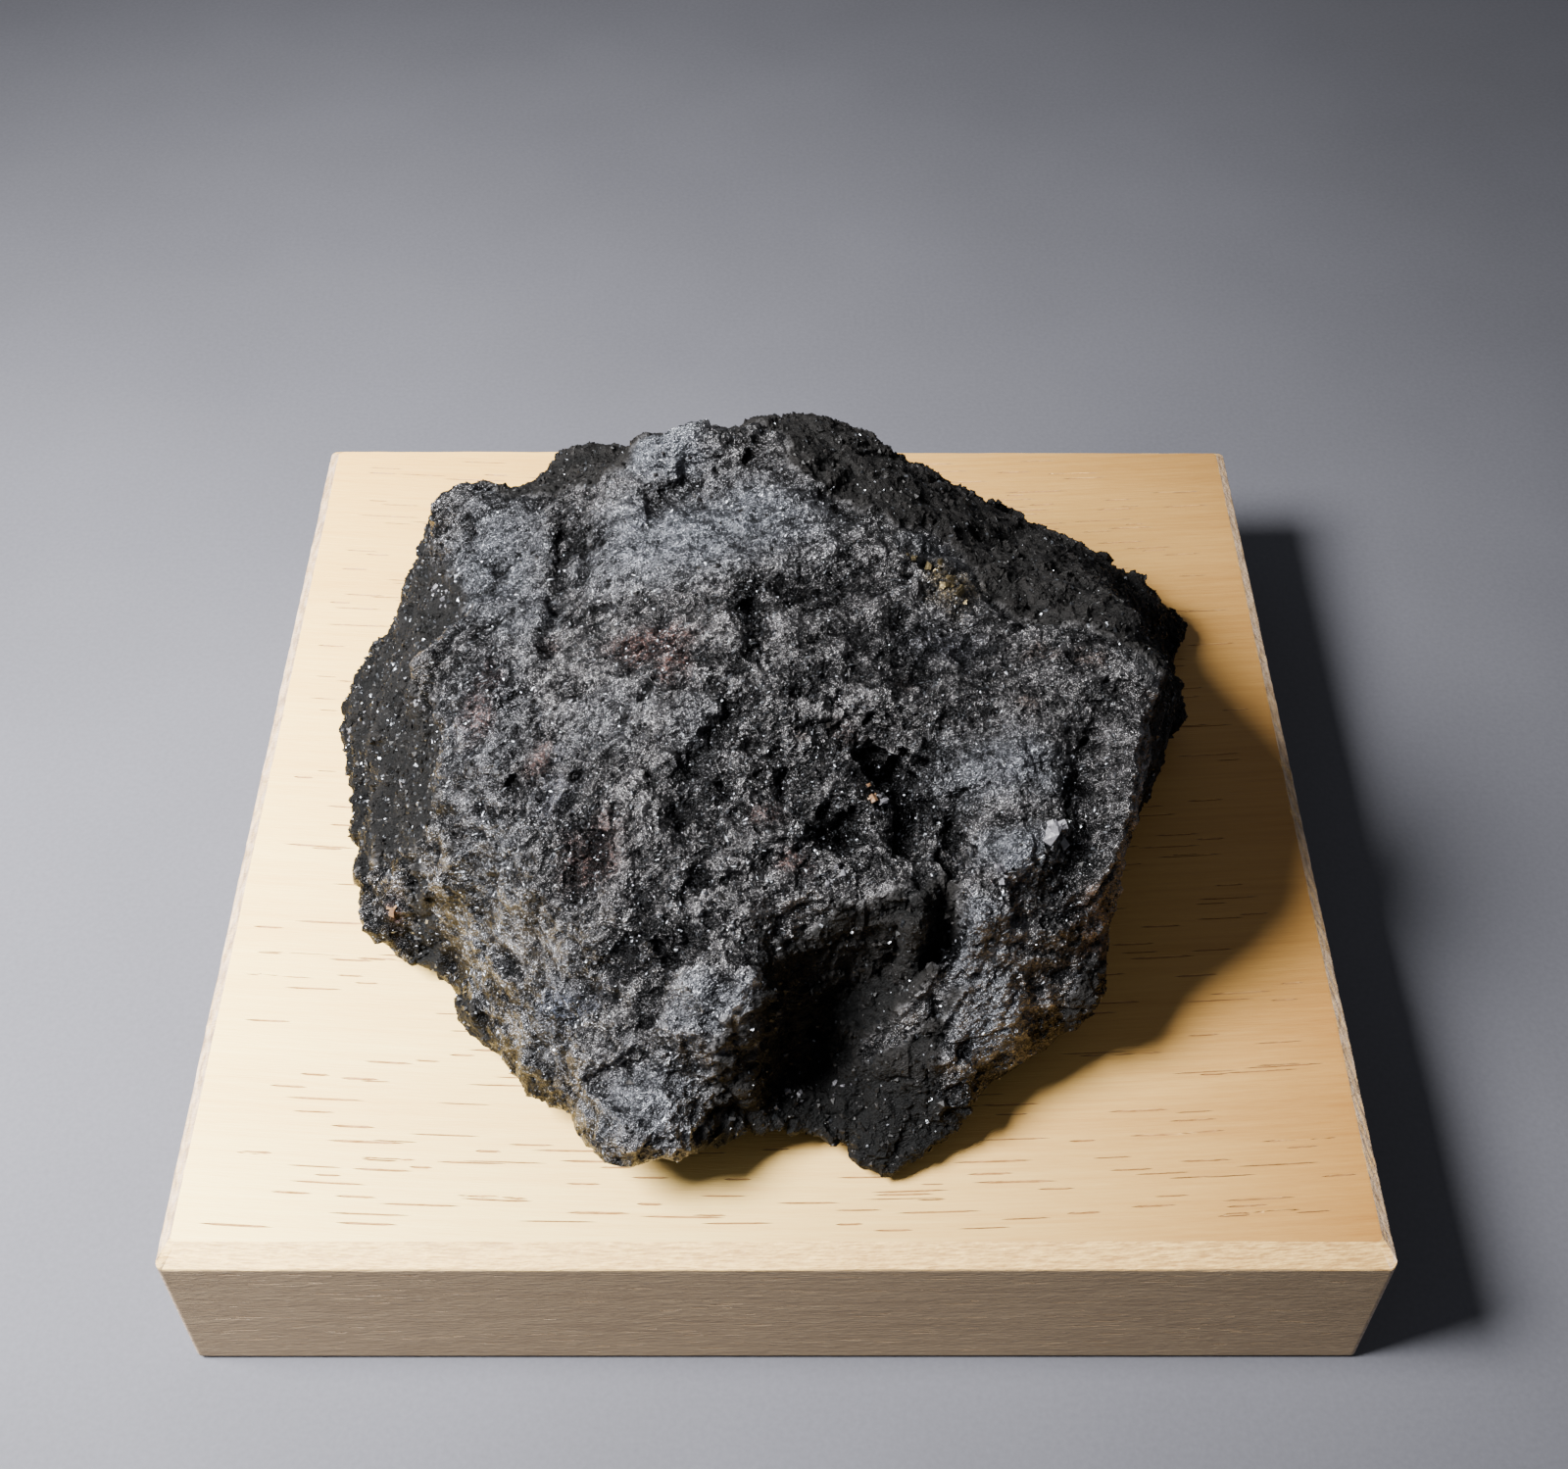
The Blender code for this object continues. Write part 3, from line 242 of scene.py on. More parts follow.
# Hollow: x, y, half width, half depth in plan, depth (negative for a swelling).
HOLLOWS = [
    (5.0, -24.8, 2.6, 1.7, 2.0), (-15.2, -26.5, 1.9, 3.2, 1.7), (-16.0, -34.4, 2.6, 2.2, 1.0),
    (-10.5, -29.8, 1.0, 1.8, 1.1), (-6.0, -29.0, 1.4, 1.0, 1.1), (-6.6, -13.0, 2.4, 0.9, 0.9),
    (-23.5, -6.0, 1.0, 1.2, 1.2), (-29.8, -5.6, 1.3, 0.9, 1.3), (-21.5, -20.5, 1.1, 0.8, 0.9),
    (11.0, -1.5, 1.1, 1.0, 1.0), (13.0, 0.5, 0.9, 1.0, 0.9), (21.5, -2.0, 1.1, 1.4, 0.9),
    (13.0, -9.5, 6.5, 3.2, 0.9), (4.0, -3.6, 4.2, 2.0, 0.6), (1.0, -20.5, 3.0, 2.0, 0.8),
    (-4.6, -36.6, 4.0, 1.8, -1.4), (20.0, -25.8, 2.4, 1.3, -1.1), (17.6, -19.6, 3.8, 2.2, -0.8),
    (-1.5, -24.6, 3.2, 2.0, -0.9), (-28.5, 12.4, 2.6, 2.2, -0.7), (-24.0, 4.5, 3.4, 3.6, 0.9),
    (-17.4, 3.6, 1.8, 3.4, -0.6), (15.0, -2.2, 2.0, 1.6, -0.8), (7.5, -14.2, 2.0, 1.6, -0.7),
    (17.0, -31.0, 2.6, 1.2, -0.7), (24.6, -18.6, 1.6, 2.4, 0.9),
]

# ---- breakage shared with the solid ----------------------------------------
FRACTURE = [(7.0, 0.10), (3.0, 0.13)]
ROUGHNESS = [(8.0, 0.30), (2.6, 0.22)]
FRACTURE_SHIFT = Vector((31.0, 0.0, 0.0))
ROUGHNESS_SHIFT = Vector((0.0, 19.0, 0.0))
PATTERN_START = Vector((SEED, 7.3, 2.1))
LEAN_SPREAD = 53.7
CALM_FROM = 0.6
CALM_OVER = 4.0


def lookup(points, softness):
    """Smooth height function through scattered (x, y, height) points."""
    table = np.array(points, dtype=float)
    site = table[:, :2]
    gap = site[:, None, :] - site[None, :, :]
    kernel = np.sqrt((gap ** 2).sum(2) + softness ** 2)
    plane = np.column_stack([np.ones(len(site)), site])
    count = len(site)
    system = np.zeros((count + 3, count + 3))
    system[:count, :count] = kernel
    system[:count, count:] = plane
    system[count:, :count] = plane.T
    weight = np.linalg.solve(system, np.append(table[:, 2], np.zeros(3)))

    def height(x, y):
        flat = np.column_stack([np.ravel(x), np.ravel(y)])
        total = np.zeros(len(flat))
        for start in range(0, len(flat), 8000):
            part = flat[start:start + 8000]
            away = part[:, None, :] - site[None, :, :]
            near = np.sqrt((away ** 2).sum(2) + softness ** 2)
            total[start:start + 8000] = near @ weight[:count]
            total[start:start + 8000] += weight[count] + part @ weight[count + 1:]
        return total.reshape(np.shape(x))

    return height


def smooth(value):
    value = np.clip(value, 0.0, 1.0)
    return value * value * (3.0 - 2.0 * value)


def distance_to(path, x, y):
    """Distance to a polyline, which side it is on (left positive), position along it 0..1."""
    best = np.full(np.shape(x), FAR)
    side = np.zeros(np.shape(x))
    along = np.zeros(np.shape(x))
    lengths = [math.dist(path[i][:2], path[i + 1][:2]) for i in range(len(path) - 1)]
    total = sum(lengths)
    walked = 0.0
    for i, length in enumerate(lengths):
        ax, ay = path[i][:2]
        bx, by = path[i + 1][:2]
        dx, dy = (bx - ax) / length, (by - ay) / length
        run = np.clip((x - ax) * dx + (y - ay) * dy, 0.0, length)
        off = np.hypot(x - ax - run * dx, y - ay - run * dy)
        cross = dx * (y - ay) - dy * (x - ax)
        closer = off < best
        best = np.where(closer, off, best)
        side = np.where(closer, np.sign(cross), side)
        along = np.where(closer, (walked + run) / total, along)
        walked += length
    return best, side, along


def inside(polygon, x, y):
    """Whether each point lies inside a closed outline."""
    hit = np.zeros(np.shape(x), dtype=bool)
    for i in range(len(polygon)):
        ax, ay = polygon[i]
        bx, by = polygon[(i + 1) % len(polygon)]
        if ay == by:
            continue
        crosses = (ay > y) != (by > y)
        edge_x = ax + (y - ay) * (bx - ax) / (by - ay)
        hit ^= crosses & (x < edge_x)
    return hit


def depth_in(edge, x, y):
    """Distance to an outline, positive inside it."""
    distance, _, _ = distance_to(edge, x, y)
    return np.where(inside(edge, x, y), distance, -distance)


def lower_to(height, floor, edge, wall, x, y):
    """Drop the ground inside an outline to its own floor across a short wall."""
    share = smooth(0.5 + depth_in(edge, x, y) / (2.0 * wall))
    return height + (np.minimum(floor, height) - height) * share


face_height = lookup(FACE_POINTS, FACE_SOFTNESS)
floor_height = lookup(CAVITY_FLOOR, CAVITY_SOFTNESS)
terrace_height = lookup(TERRACE_FLOOR, TERRACE_SOFTNESS)


def surface_height(x, y):
    """Height of the upper surface above the block at plan point x, y."""
    height = face_height(x, y)
    for path, drop, run, reach in LEDGES:
        distance, side, along = distance_to(path, x, y)
        signed = distance * side
        fade = smooth(along / LEDGE_FADE) * smooth((1.0 - along) / LEDGE_FADE)
        lower = smooth(0.5 + signed / (2.0 * run)) * np.exp(-np.maximum(signed, 0.0) / reach)
        height = height - drop * lower * fade
    for path, width, depth in GROOVES:
        distance, _, along = distance_to(path, x, y)
        fade = smooth(along / GROOVE_FADE) * smooth((1.0 - along) / GROOVE_FADE)
        depth_here = depth * (GROOVE_END + (1.0 - GROOVE_END) * fade)
        height = height - depth_here * np.exp(-(distance / width) ** 2)
    for cx, cy, wide, long, depth in HOLLOWS:
        spread = ((x - cx) / wide) ** 2 + ((y - cy) / long) ** 2
        height = height - depth * np.exp(-spread ** 1.5)
    height = lower_to(height, terrace_height(x, y), TERRACE_EDGE, TERRACE_WALL, x, y)
    return lower_to(height, floor_height(x, y), CAVITY_EDGE, CAVITY_WALL, x, y)


def outline(points, angles):
    """Radius and height of a closed outline at each angle about the spine point."""
    table = np.array(points, dtype=float)
    dx = table[:, 0] - SPINE[0]
    dy = table[:, 1] - SPINE[1]
    bearing = np.arctan2(dy, dx) % (2 * math.pi)
    order = np.argsort(bearing)
    bearing = bearing[order]
    corner = np.column_stack([dx, dy, table[:, 2]])[order]
    radius = np.zeros(len(angles))
    height = np.zeros(len(angles))
    for k, angle in enumerate(angles):
        after = np.searchsorted(bearing, angle) % len(bearing)
        a = corner[after - 1]
        b = corner[after]
        ux, uy = math.cos(angle), math.sin(angle)
        side_a = ux * a[1] - uy * a[0]
        side_b = ux * b[1] - uy * b[0]
        share = side_a / (side_a - side_b)
        hit = a + (b - a) * share
        radius[k] = ux * hit[0] + uy * hit[1]
        height[k] = hit[2]
    return radius, height


def specimen_points():
    """Rings of points from the middle of the top, over the rim, to the middle underneath."""
    angles = np.arange(AROUND) * 2 * math.pi / AROUND
    ux, uy = np.cos(angles), np.sin(angles)
    rim_r, _ = outline(RIM, angles)
    belly_r, belly_h = outline(BELLY, angles)
    foot_r, foot_h = outline(FOOT, angles)
    rings = []
    for i in range(1, TOP_RINGS + 1):
        share = i / TOP_RINGS
        x = SPINE[0] + ux * rim_r * share
        y = SPINE[1] + uy * rim_r * share
        rings.append(np.column_stack([x, y, surface_height(x, y)]))
    edge_h = rings[-1][:, 2]
    for i in range(1, FLANK_RINGS + 1):
        t = i / FLANK_RINGS
        outward = smooth(np.array(t / BELLY_REACHED))
        tuck = max(0.0, (t - TUCK_START) / (1.0 - TUCK_START)) ** TUCK_POWER
        settle = max(0.0, (t - FOOT_START) / (1.0 - FOOT_START)) ** FOOT_POWER
        radius = rim_r + (belly_r - rim_r) * np.sin(outward * math.pi / 2)
        height = edge_h + (belly_h - edge_h) * min(1.0, t / BELLY_LEVEL)
        radius = radius + (foot_r - radius) * tuck
        height = height + (foot_h - height) * settle
        rings.append(np.column_stack([SPINE[0] + ux * radius, SPINE[1] + uy * radius, height]))
    for i in range(1, UNDER_RINGS):
        share = 1.0 - i / UNDER_RINGS
        hollow = UNDER_HOLLOW * math.sin((1.0 - share) * math.pi / 2)
        height = foot_h * share + hollow
        rings.append(np.column_stack([SPINE[0] + ux * foot_r * share,
                                      SPINE[1] + uy * foot_r * share, height]))
    middle = surface_height(np.array([SPINE[0]]), np.array([SPINE[1]]))
    top = (SPINE[0], SPINE[1], float(middle[0]))
    under = (SPINE[0], SPINE[1], UNDER_HOLLOW)
    return rings, top, under


def breakage(point):
    """Outward offset that breaks a smooth surface into flat-sided blocks and rough patches."""
    offset = 0.0
    for index, (size, tilt) in enumerate(FRACTURE):
        place = point / size + PATTERN_START + FRACTURE_SHIFT * index
        _, centres = noise.voronoi(place)
        lean = noise.cell_vector(centres[0] * LEAN_SPREAD) - Vector((0.5, 0.5, 0.5))
        offset += (place - centres[0]).dot(lean) * 2.0 * tilt * size
    for index, (size, amount) in enumerate(ROUGHNESS):
        place = point / size + PATTERN_START + ROUGHNESS_SHIFT * index
        offset += noise.noise(place) * amount
    return offset


# ---- noise over many points at once ----------------------------------------
CELL_PRIMES = (73856093, 19349663, 83492791)
SEED_PRIME = 2654435761
HASH_STEPS = [(30, 0xBF58476D1CE4E5B9), (27, 0x94D049BB133111EB), (31, 1)]   # shift, factor
DICE_BITS = 21            # bits of the hash that make one random number
DICE_MOST = 2 ** DICE_BITS - 1


def scramble(cell, seed):
    """Three even random numbers 0..1 for each whole-number cell."""
    spread = cell.astype(np.int64) * CELL_PRIMES
    key = spread[:, 0] ^ spread[:, 1] ^ spread[:, 2] ^ np.int64(seed * SEED_PRIME)
    key = key.astype(np.uint64)
    for shift, factor in HASH_STEPS:
        key = (key ^ (key >> np.uint64(shift))) * np.uint64(factor)
    parts = [(key >> np.uint64(DICE_BITS * k)) & np.uint64(DICE_MOST) for k in range(3)]
    return np.column_stack(parts).astype(float) / DICE_MOST


def cells(points, size, seed):
    """Distance to the nearest of many scattered centres, the way to it (both in cells), and
    three random numbers of its cell."""
    place = points / size
    base = np.floor(place)
    nearest = np.full(len(place), FAR)
    way = np.zeros((len(place), 3))
    owner = np.zeros((len(place), 3))
    for dx in (-1, 0, 1):
        for dy in (-1, 0, 1):
            for dz in (-1, 0, 1):
                cell = base + (dx, dy, dz)
                gap = place - cell - scramble(cell, seed)
                distance = np.sqrt((gap ** 2).sum(1))
                closer = distance < nearest
                nearest = np.where(closer, distance, nearest)
                way[closer] = gap[closer]
                owner[closer] = cell[closer]
    return nearest, way, scramble(owner, seed + 101)


def ripple(points, size, seed):
    """Smooth gradient noise, about -1..1."""
    place = points / size
    base = np.floor(place)
    part = place - base
    fade = part * part * part * (part * (part * 6.0 - 15.0) + 10.0)
    total = np.zeros(len(place))
    for dx in (0, 1):
        for dy in (0, 1):
            for dz in (0, 1):
                slope = scramble(base + (dx, dy, dz), seed) * 2.0 - 1.0
                value = (slope * (part - (dx, dy, dz))).sum(1)
                share = fade[:, 0] if dx else 1.0 - fade[:, 0]
                share = share * (fade[:, 1] if dy else 1.0 - fade[:, 1])
                share = share * (fade[:, 2] if dz else 1.0 - fade[:, 2])
                total += value * share
    return total * 1.6


def blocks(points, size, tilt, step, seed):
    """Offset of flat-topped broken blocks: each leans its own way and stands at its own level."""
    _, way, dice = cells(points, size, seed)
    lean = dice * 2.0 - 1.0
    return (way * lean).sum(1) * tilt * size + (dice[:, 0] + dice[:, 2] - 1.0) * step


# ---- what the surface is made of, with its painted shade and sheen, by plan position ---
# Outline of the crystal crust; the rest of the surface is dull matrix.
CRUST_EDGE = [
    (-33.2, 14.6), (-31.2, 16.8), (-29.4, 17.6), (-26.8, 16.2), (-25.2, 14.4), (-19.3, 12.8),
    (-16.9, 11.6), (-13.2, 11.0), (-11.5, 13.6), (-8.1, 15.8), (-6.0, 16.2), (-4.0, 13.8),
    (-3.1, 13.8), (-3.4, 16.4), (-2.1, 16.8), (0.8, 15.2), (0.9, 9.8), (3.9, 8.1), (7.3, 6.3),
    (9.1, 6.7), (10.0, 4.5), (13.0, 6.2), (16.0, 4.6), (17.4, 0.2), (18.9, -2.6), (21.3, -4.2),
    (25.0, -6.6), (27.6, -8.4), (30.2, -10.4), (33.0, -13.0), (32.6, -17.5), (29.6, -19.6),
    (29.4, -25.0), (26.6, -27.6), (25.6, -29.4), (23.8, -32.2), (21.4, -34.6), (17.0, -38.0),
    (14.2, -39.4), (13.0, -38.2), (13.6, -34.3), (15.5, -33.0), (13.0, -33.1), (11.6, -30.5),
    (14.9, -29.9), (14.1, -28.0), (13.0, -26.6), (11.9, -28.6), (10.3, -29.3), (10.2, -28.8),
    (4.3, -30.4), (0.1, -32.4), (-0.7, -35.0), (-1.8, -37.5), (-4.9, -39.1), (-5.4, -40.7),
    (-7.6, -46.5), (-14.8, -46.0), (-16.6, -41.2), (-21.2, -37.4), (-23.8, -33.6), (-26.0, -28.9),
    (-29.2, -24.4), (-29.8, -21.4), (-30.6, -18.6), (-31.8, -19.4), (-31.4, -21.9), (-33.0, -23.4),
    (-38.4, -22.6), (-38.4, -14.4), (-35.6, -15.2), (-33.4, -16.2), (-31.2, -18.0), (-29.8, -17.6),
    (-28.3, -17.0), (-28.9, -15.6), (-28.8, -11.6), (-29.2, -8.0), (-30.4, -6.4), (-32.1, -4.8),
    (-32.1, -2.8), (-30.3, -0.3), (-28.0, 1.4), (-27.9, 4.6), (-29.5, 7.0), (-30.3, 9.2),
    (-31.7, 11.4)]
# Thin tongue of crust that runs down into the cavity: its middle line and half width.
TONGUE = [(7.4, -34.9), (10.2, -34.6), (12.8, -33.5)]
TONGUE_HALF_WIDTH = 0.6

# Patches: x, y, half width, half depth, strength 0..1.
# Silver patches: crust of a lighter, cooler steel colour, partly real and partly painted sheen.
SILVER_AND_SHEEN = [
    (-6.5, 4.0, 10.5, 5.6, 1.0), (-25.6, 6.0, 5.2, 7.6, 0.9), (-22.6, -1.0, 3.4, 4.0, 0.7),
    (-25.0, -12.0, 4.6, 8.0, 0.5), (-24.4, -24.5, 3.4, 5.5, 0.6), (-19.0, -33.5, 3.6, 3.4, 0.4),
    (17.5, -19.6, 5.6, 2.6, 0.8), (19.1, -26.0, 3.6, 1.8, 0.9), (15.6, -30.9, 3.4, 1.6, 0.8),
    (17.4, -34.8, 3.6, 2.8, 0.9), (-4.3, -37.0, 4.6, 1.6, 0.8), (-10.4, -41.6, 4.8, 2.8, 0.8),
    (-10.2, 12.0, 3.8, 2.0, 1.0), (-14.0, -15.5, 3.6, 3.0, 0.4), (-6.6, -17.0, 2.0, 3.6, 0.4),
    (13.0, 2.8, 3.0, 1.6, 0.5), (-11.6, 1.4, 4.0, 3.0, 0.6)]
PITTED = [
    (-15.6, -25.0, 2.8, 4.8, 1.0), (-15.5, -33.6, 3.8, 2.6, 0.8), (-8.0, -30.5, 5.0, 4.6, 0.9),
    (0.0, -20.0, 7.6, 8.6, 0.8), (-2.2, -6.5, 1.9, 4.8, 1.0), (-10.0, -9.0, 3.2, 3.2, 0.9),
    (-24.4, -9.0, 2.6, 3.0, 0.7), (-21.0, -19.0, 4.0, 3.6, 0.6), (9.2, -21.2, 5.6, 4.8, 1.0),
    (13.4, -26.4, 3.0, 2.6, 0.9), (1.0, -27.0, 6.0, 2.6, 0.8), (11.8, -1.6, 3.0, 1.8, 0.9),
    (22.8, -26.6, 2.4, 1.6, 0.7), (24.2, -22.2, 1.9, 3.0, 0.6), (-1.0, -13.2, 4.4, 3.0, 0.6),
    (-16.4, -1.8, 2.6, 1.6, 0.7), (14.6, -15.5, 4.0, 2.0, 0.4)]
# Painted shade: patches darkened where shade falls, on the cavity wall, in hollows and on slopes
# turned away from the lamp.
PAINTED_SHADE = [
    (12.6, -9.6, 7.4, 3.2, 0.5), (4.0, -3.0, 4.8, 2.4, 0.6), (-17.4, 5.0, 2.2, 4.6, 0.6),
    (24.4, -22.4, 2.2, 4.2, 0.5), (-5.6, -19.0, 2.4, 5.0, 0.5), (9.4, -21.0, 4.6, 4.0, 0.6),
    (-2.4, -6.6, 1.6, 4.6, 0.7), (-15.6, -25.4, 2.2, 4.0, 0.5), (-9.0, -33.2, 5.0, 1.6, 0.5),
    (23.4, -12.0, 4.6, 3.6, 0.3), (5.4, -24.4, 3.0, 1.8, 0.8), (-20.2, -2.6, 1.2, 3.0, 0.5),
    (22.6, -27.4, 2.4, 1.4, 0.5), (4.0, -32.6, 5.6, 1.5, 1.0), (0.6, -36.0, 2.6, 3.2, 1.0),
    (12.0, -30.4, 2.2, 2.0, 0.9), (5.0, -38.6, 5.0, 2.0, 0.6)]
RUST = (0.26, 0.085, 0.050)
BUFF = (0.30, 0.19, 0.14)
BRASS = (0.46, 0.34, 0.14)
BLUE = (0.10, 0.13, 0.21)
# Stains: x, y, half width, half depth, strength, colour.
STAINS = [
    (-10.6, -8.4, 3.4, 1.9, 0.8, RUST), (-8.3, -11.2, 1.4, 1.6, 0.9, RUST),
    (-25.4, -12.1, 1.2, 2.2, 0.7, RUST), (-19.4, -17.7, 1.2, 1.5, 0.7, RUST),
    (-14.6, -25.8, 2.4, 2.2, 0.7, RUST), (-1.1, -23.8, 1.4, 1.0, 0.6, RUST),
    (1.3, -27.8, 1.1, 1.0, 0.7, RUST), (-24.4, -8.2, 0.9, 1.7, 0.6, RUST),
    (5.3, -16.3, 1.0, 0.9, 0.4, RUST), (-19.4, -4.8, 1.4, 0.8, 0.4, RUST),
    (21.7, -9.5, 1.3, 1.2, 0.8, BUFF), (25.5, -10.3, 1.0, 0.8, 0.7, BUFF),
    (20.4, -14.8, 0.9, 1.0, 0.7, BUFF), (10.1, -12.5, 0.7, 0.7, 0.6, BUFF),
    (1.7, -17.6, 0.7, 0.6, 0.6, BUFF), (25.6, -27.6, 1.8, 1.2, 0.6, BUFF),
    (14.6, -2.0, 2.2, 2.6, 0.8, BRASS), (-33.4, -20.4, 0.9, 0.9, 0.8, RUST),
    (-17.3, -34.2, 1.9, 1.6, 0.8, BLUE), (-14.5, -34.6, 1.2, 0.8, 0.8, BLUE),
    (13.6, -8.0, 3.6, 1.9, 0.5, BLUE), (-18.5, -21.0, 1.8, 1.7, 0.5, BLUE),
    (-17.4, -18.0, 1.2, 1.0, 0.4, BLUE)]
DIM_FLANK = 0.40          # painted shade: how much darker the flank towards the lamp is painted
DIM_FROM, DIM_OVER = -13.0, 14.0
DIM_FOOT = 1.5            # the foot is darker too
FOOT_FROM, FOOT_OVER = 11.0, 9.0
WANDER_SIZE, WANDER = 3.2, 1.1         # how far patch edges wander from their ellipses
EDGE_SIZE, EDGE_WANDER = 1.3, 0.45     # how far the crust's outline wanders
SILVER_UNPITTED = 0.6     # how much less pitted the silver patches are
# Open holes in the crust: x, y, radius, depth.
VUGS = [
    (8.1, -18.3, 1.9, 1.2), (10.0, -19.8, 1.7, 1.1), (5.2, -23.9, 1.4, 0.9),
    (13.4, -25.9, 1.3, 0.9), (-4.3, -14.1, 0.9, 0.6), (-1.9, -18.1, 1.0, 0.7),
    (0.5, -20.9, 1.0, 0.7), (-4.2, -21.1, 1.0, 0.7), (-8.4, -7.5, 0.9, 0.6),
    (-10.7, -13.3, 0.9, 0.6), (-21.5, -10.4, 0.9, 0.6), (-16.4, -12.0, 0.8, 0.5)]
VUG_FLOOR = 12.0          # holes are only cut above this height
VUG_RIM = 0.6             # share of a hole's radius over which its wall falls
VUG_RAGGED_SIZE, VUG_RAGGED = 1.5, 0.9
MATRIX_SWELL = 0.30       # the grainy matrix stands this much out of the modelled shape
CRUST_RAMP = 0.25
# Roughness of the crust: plain, more where pitted, more where silver; then of the matrix.
CRUST_ROUGH, MATRIX_ROUGH = (0.30, 0.70, -0.24), 0.80
WARP_SIZE, WARP = 1.9, 0.45            # the small forms are bent by this much
SWELL_SIZE, SWELL = 5.5, 0.25
MATRIX_LUMPS, LUMP_AMOUNT = (4.2, 0.22, 0.55, SEED + 24), 0.45   # size, tilt, step, seed
# Low ledges along the lie of the crystals: size of their field, how many they are in it, how
# ragged, height, more height where silver, share of the run that is the riser.
LEDGE_FIELD, LEDGES_IN_FIELD = (17.0, 6.0, 8.0), 2.4
LEDGE_WAVE_SIZE, LEDGE_WAVE, LEDGE_WARP = 5.0, 0.25, 0.10
LOW_LEDGE, SILVER_LEDGE, LEDGE_RISER = 0.36, -0.16, 0.16
WAVES = [(2.6, 0.16, 18), (1.3, 0.10, 19)]      # size, height, seed
FLAKE_SHAPE, FLAKE_WARP = (1.3, 1.0, 1.0), 0.30
FLAKE_BLOCKS = (0.75, 0.26, 0.09, SEED + 20)    # size, tilt, step, seed
# Small broken blocks: size, tilt, step, amount where smooth, more where rough, seed.
BREAKS = [
    (2.6, 0.16, 0.24, 0.0, 1.0, 10), (1.25, 0.19, 0.15, 0.0, 1.0, 11),
    (0.62, 0.24, 0.08, 0.22, 0.7, 12)]
# Small pits: spacing, chance, more chance where pitted, and in the matrix, radius and its spread
# (in spacings), depth and its spread, seed.
PITS = [
    (2.1, 0.04, 0.48, 0.10, 0.22, 0.22, 0.45, 0.75, 16),
    (1.0, 0.05, 0.45, 0.0, 0.42, 0.0, 0.34, 0.0, 17)]
GRAIN_TURN = math.radians(32.0)   # which way the bladed crystals lie, and how far it swings
GRAIN_SWING = 0.35
GRAIN_SWING_SIZE = 26.0


def patch(x, y, cx, cy, wide, long, strength):
    """Strength 0..1 of a soft elliptical patch."""
    spread = ((x - cx) / wide) ** 2 + ((y - cy) / long) ** 2
    return strength * np.exp(-spread ** 2 * 0.7)


def patches(table, x, y):
    total = np.zeros(len(x))
    for row in table:
        total = np.maximum(total, patch(x, y, *row))
    return total


def fields(points):
    """What each point (mm, height above the block) is made of, and where shade and sheen are painted
    on it.
    """
    drift = [ripple(points, WANDER_SIZE, SEED + k) * WANDER for k in (1, 2)]
    fray = [ripple(points, EDGE_SIZE, SEED + k) * EDGE_WANDER for k in (3, 4)]
    x, y = (points[:, k] + drift[k] + fray[k] for k in (0, 1))
    edge_x, edge_y = (points[:, k] + fray[k] for k in (0, 1))
    tongue, _, _ = distance_to(TONGUE, edge_x, edge_y)
    reach = depth_in(CRUST_EDGE + CRUST_EDGE[:1], edge_x, edge_y)
    reach = np.maximum(reach, TONGUE_HALF_WIDTH - tongue)
    crust = smooth(0.5 + reach / (2.0 * CRUST_RAMP))
    stain = np.zeros((len(x), 3))
    cover = np.zeros(len(x))
    for *row, colour in STAINS:
        share = patch(x, y, *row)
        stronger = share > cover
        cover = np.where(stronger, share, cover)
        stain[stronger] = colour
    silver_and_sheen = patches(SILVER_AND_SHEEN, x, y) * crust
    flank = DIM_FLANK * smooth((DIM_FROM - x) / DIM_OVER)
    flank = np.maximum(flank, DIM_FOOT * smooth((FOOT_FROM - points[:, 2]) / FOOT_OVER))
    pitted = patches(PITTED, x, y) * crust
    return {"crust": crust, "silver_and_sheen": silver_and_sheen, "stain": stain, "cover": cover,
            "pitted": pitted * (1.0 - SILVER_UNPITTED * silver_and_sheen),
            "painted_shade": np.maximum(patches(PAINTED_SHADE, x, y), flank)}


def grain_turn(points):
    return GRAIN_TURN + GRAIN_SWING * ripple(points, GRAIN_SWING_SIZE, SEED + 14)


def along_grain(points):
    """Coordinates that run along and across the lie of the bladed crystals."""
    turn = grain_turn(points)
    along = points[:, 0] * np.cos(turn) + points[:, 1] * np.sin(turn)
    across = -points[:, 0] * np.sin(turn) + points[:, 1] * np.cos(turn)
    return np.column_stack([along, across, points[:, 2]])


def steps(level, riser):
    """Terraces: 0 on average, each rises over the given share of its run, then falls back."""
    part = level - np.floor(level)
    return smooth(part / riser) - part - (0.5 - riser / 2.0)


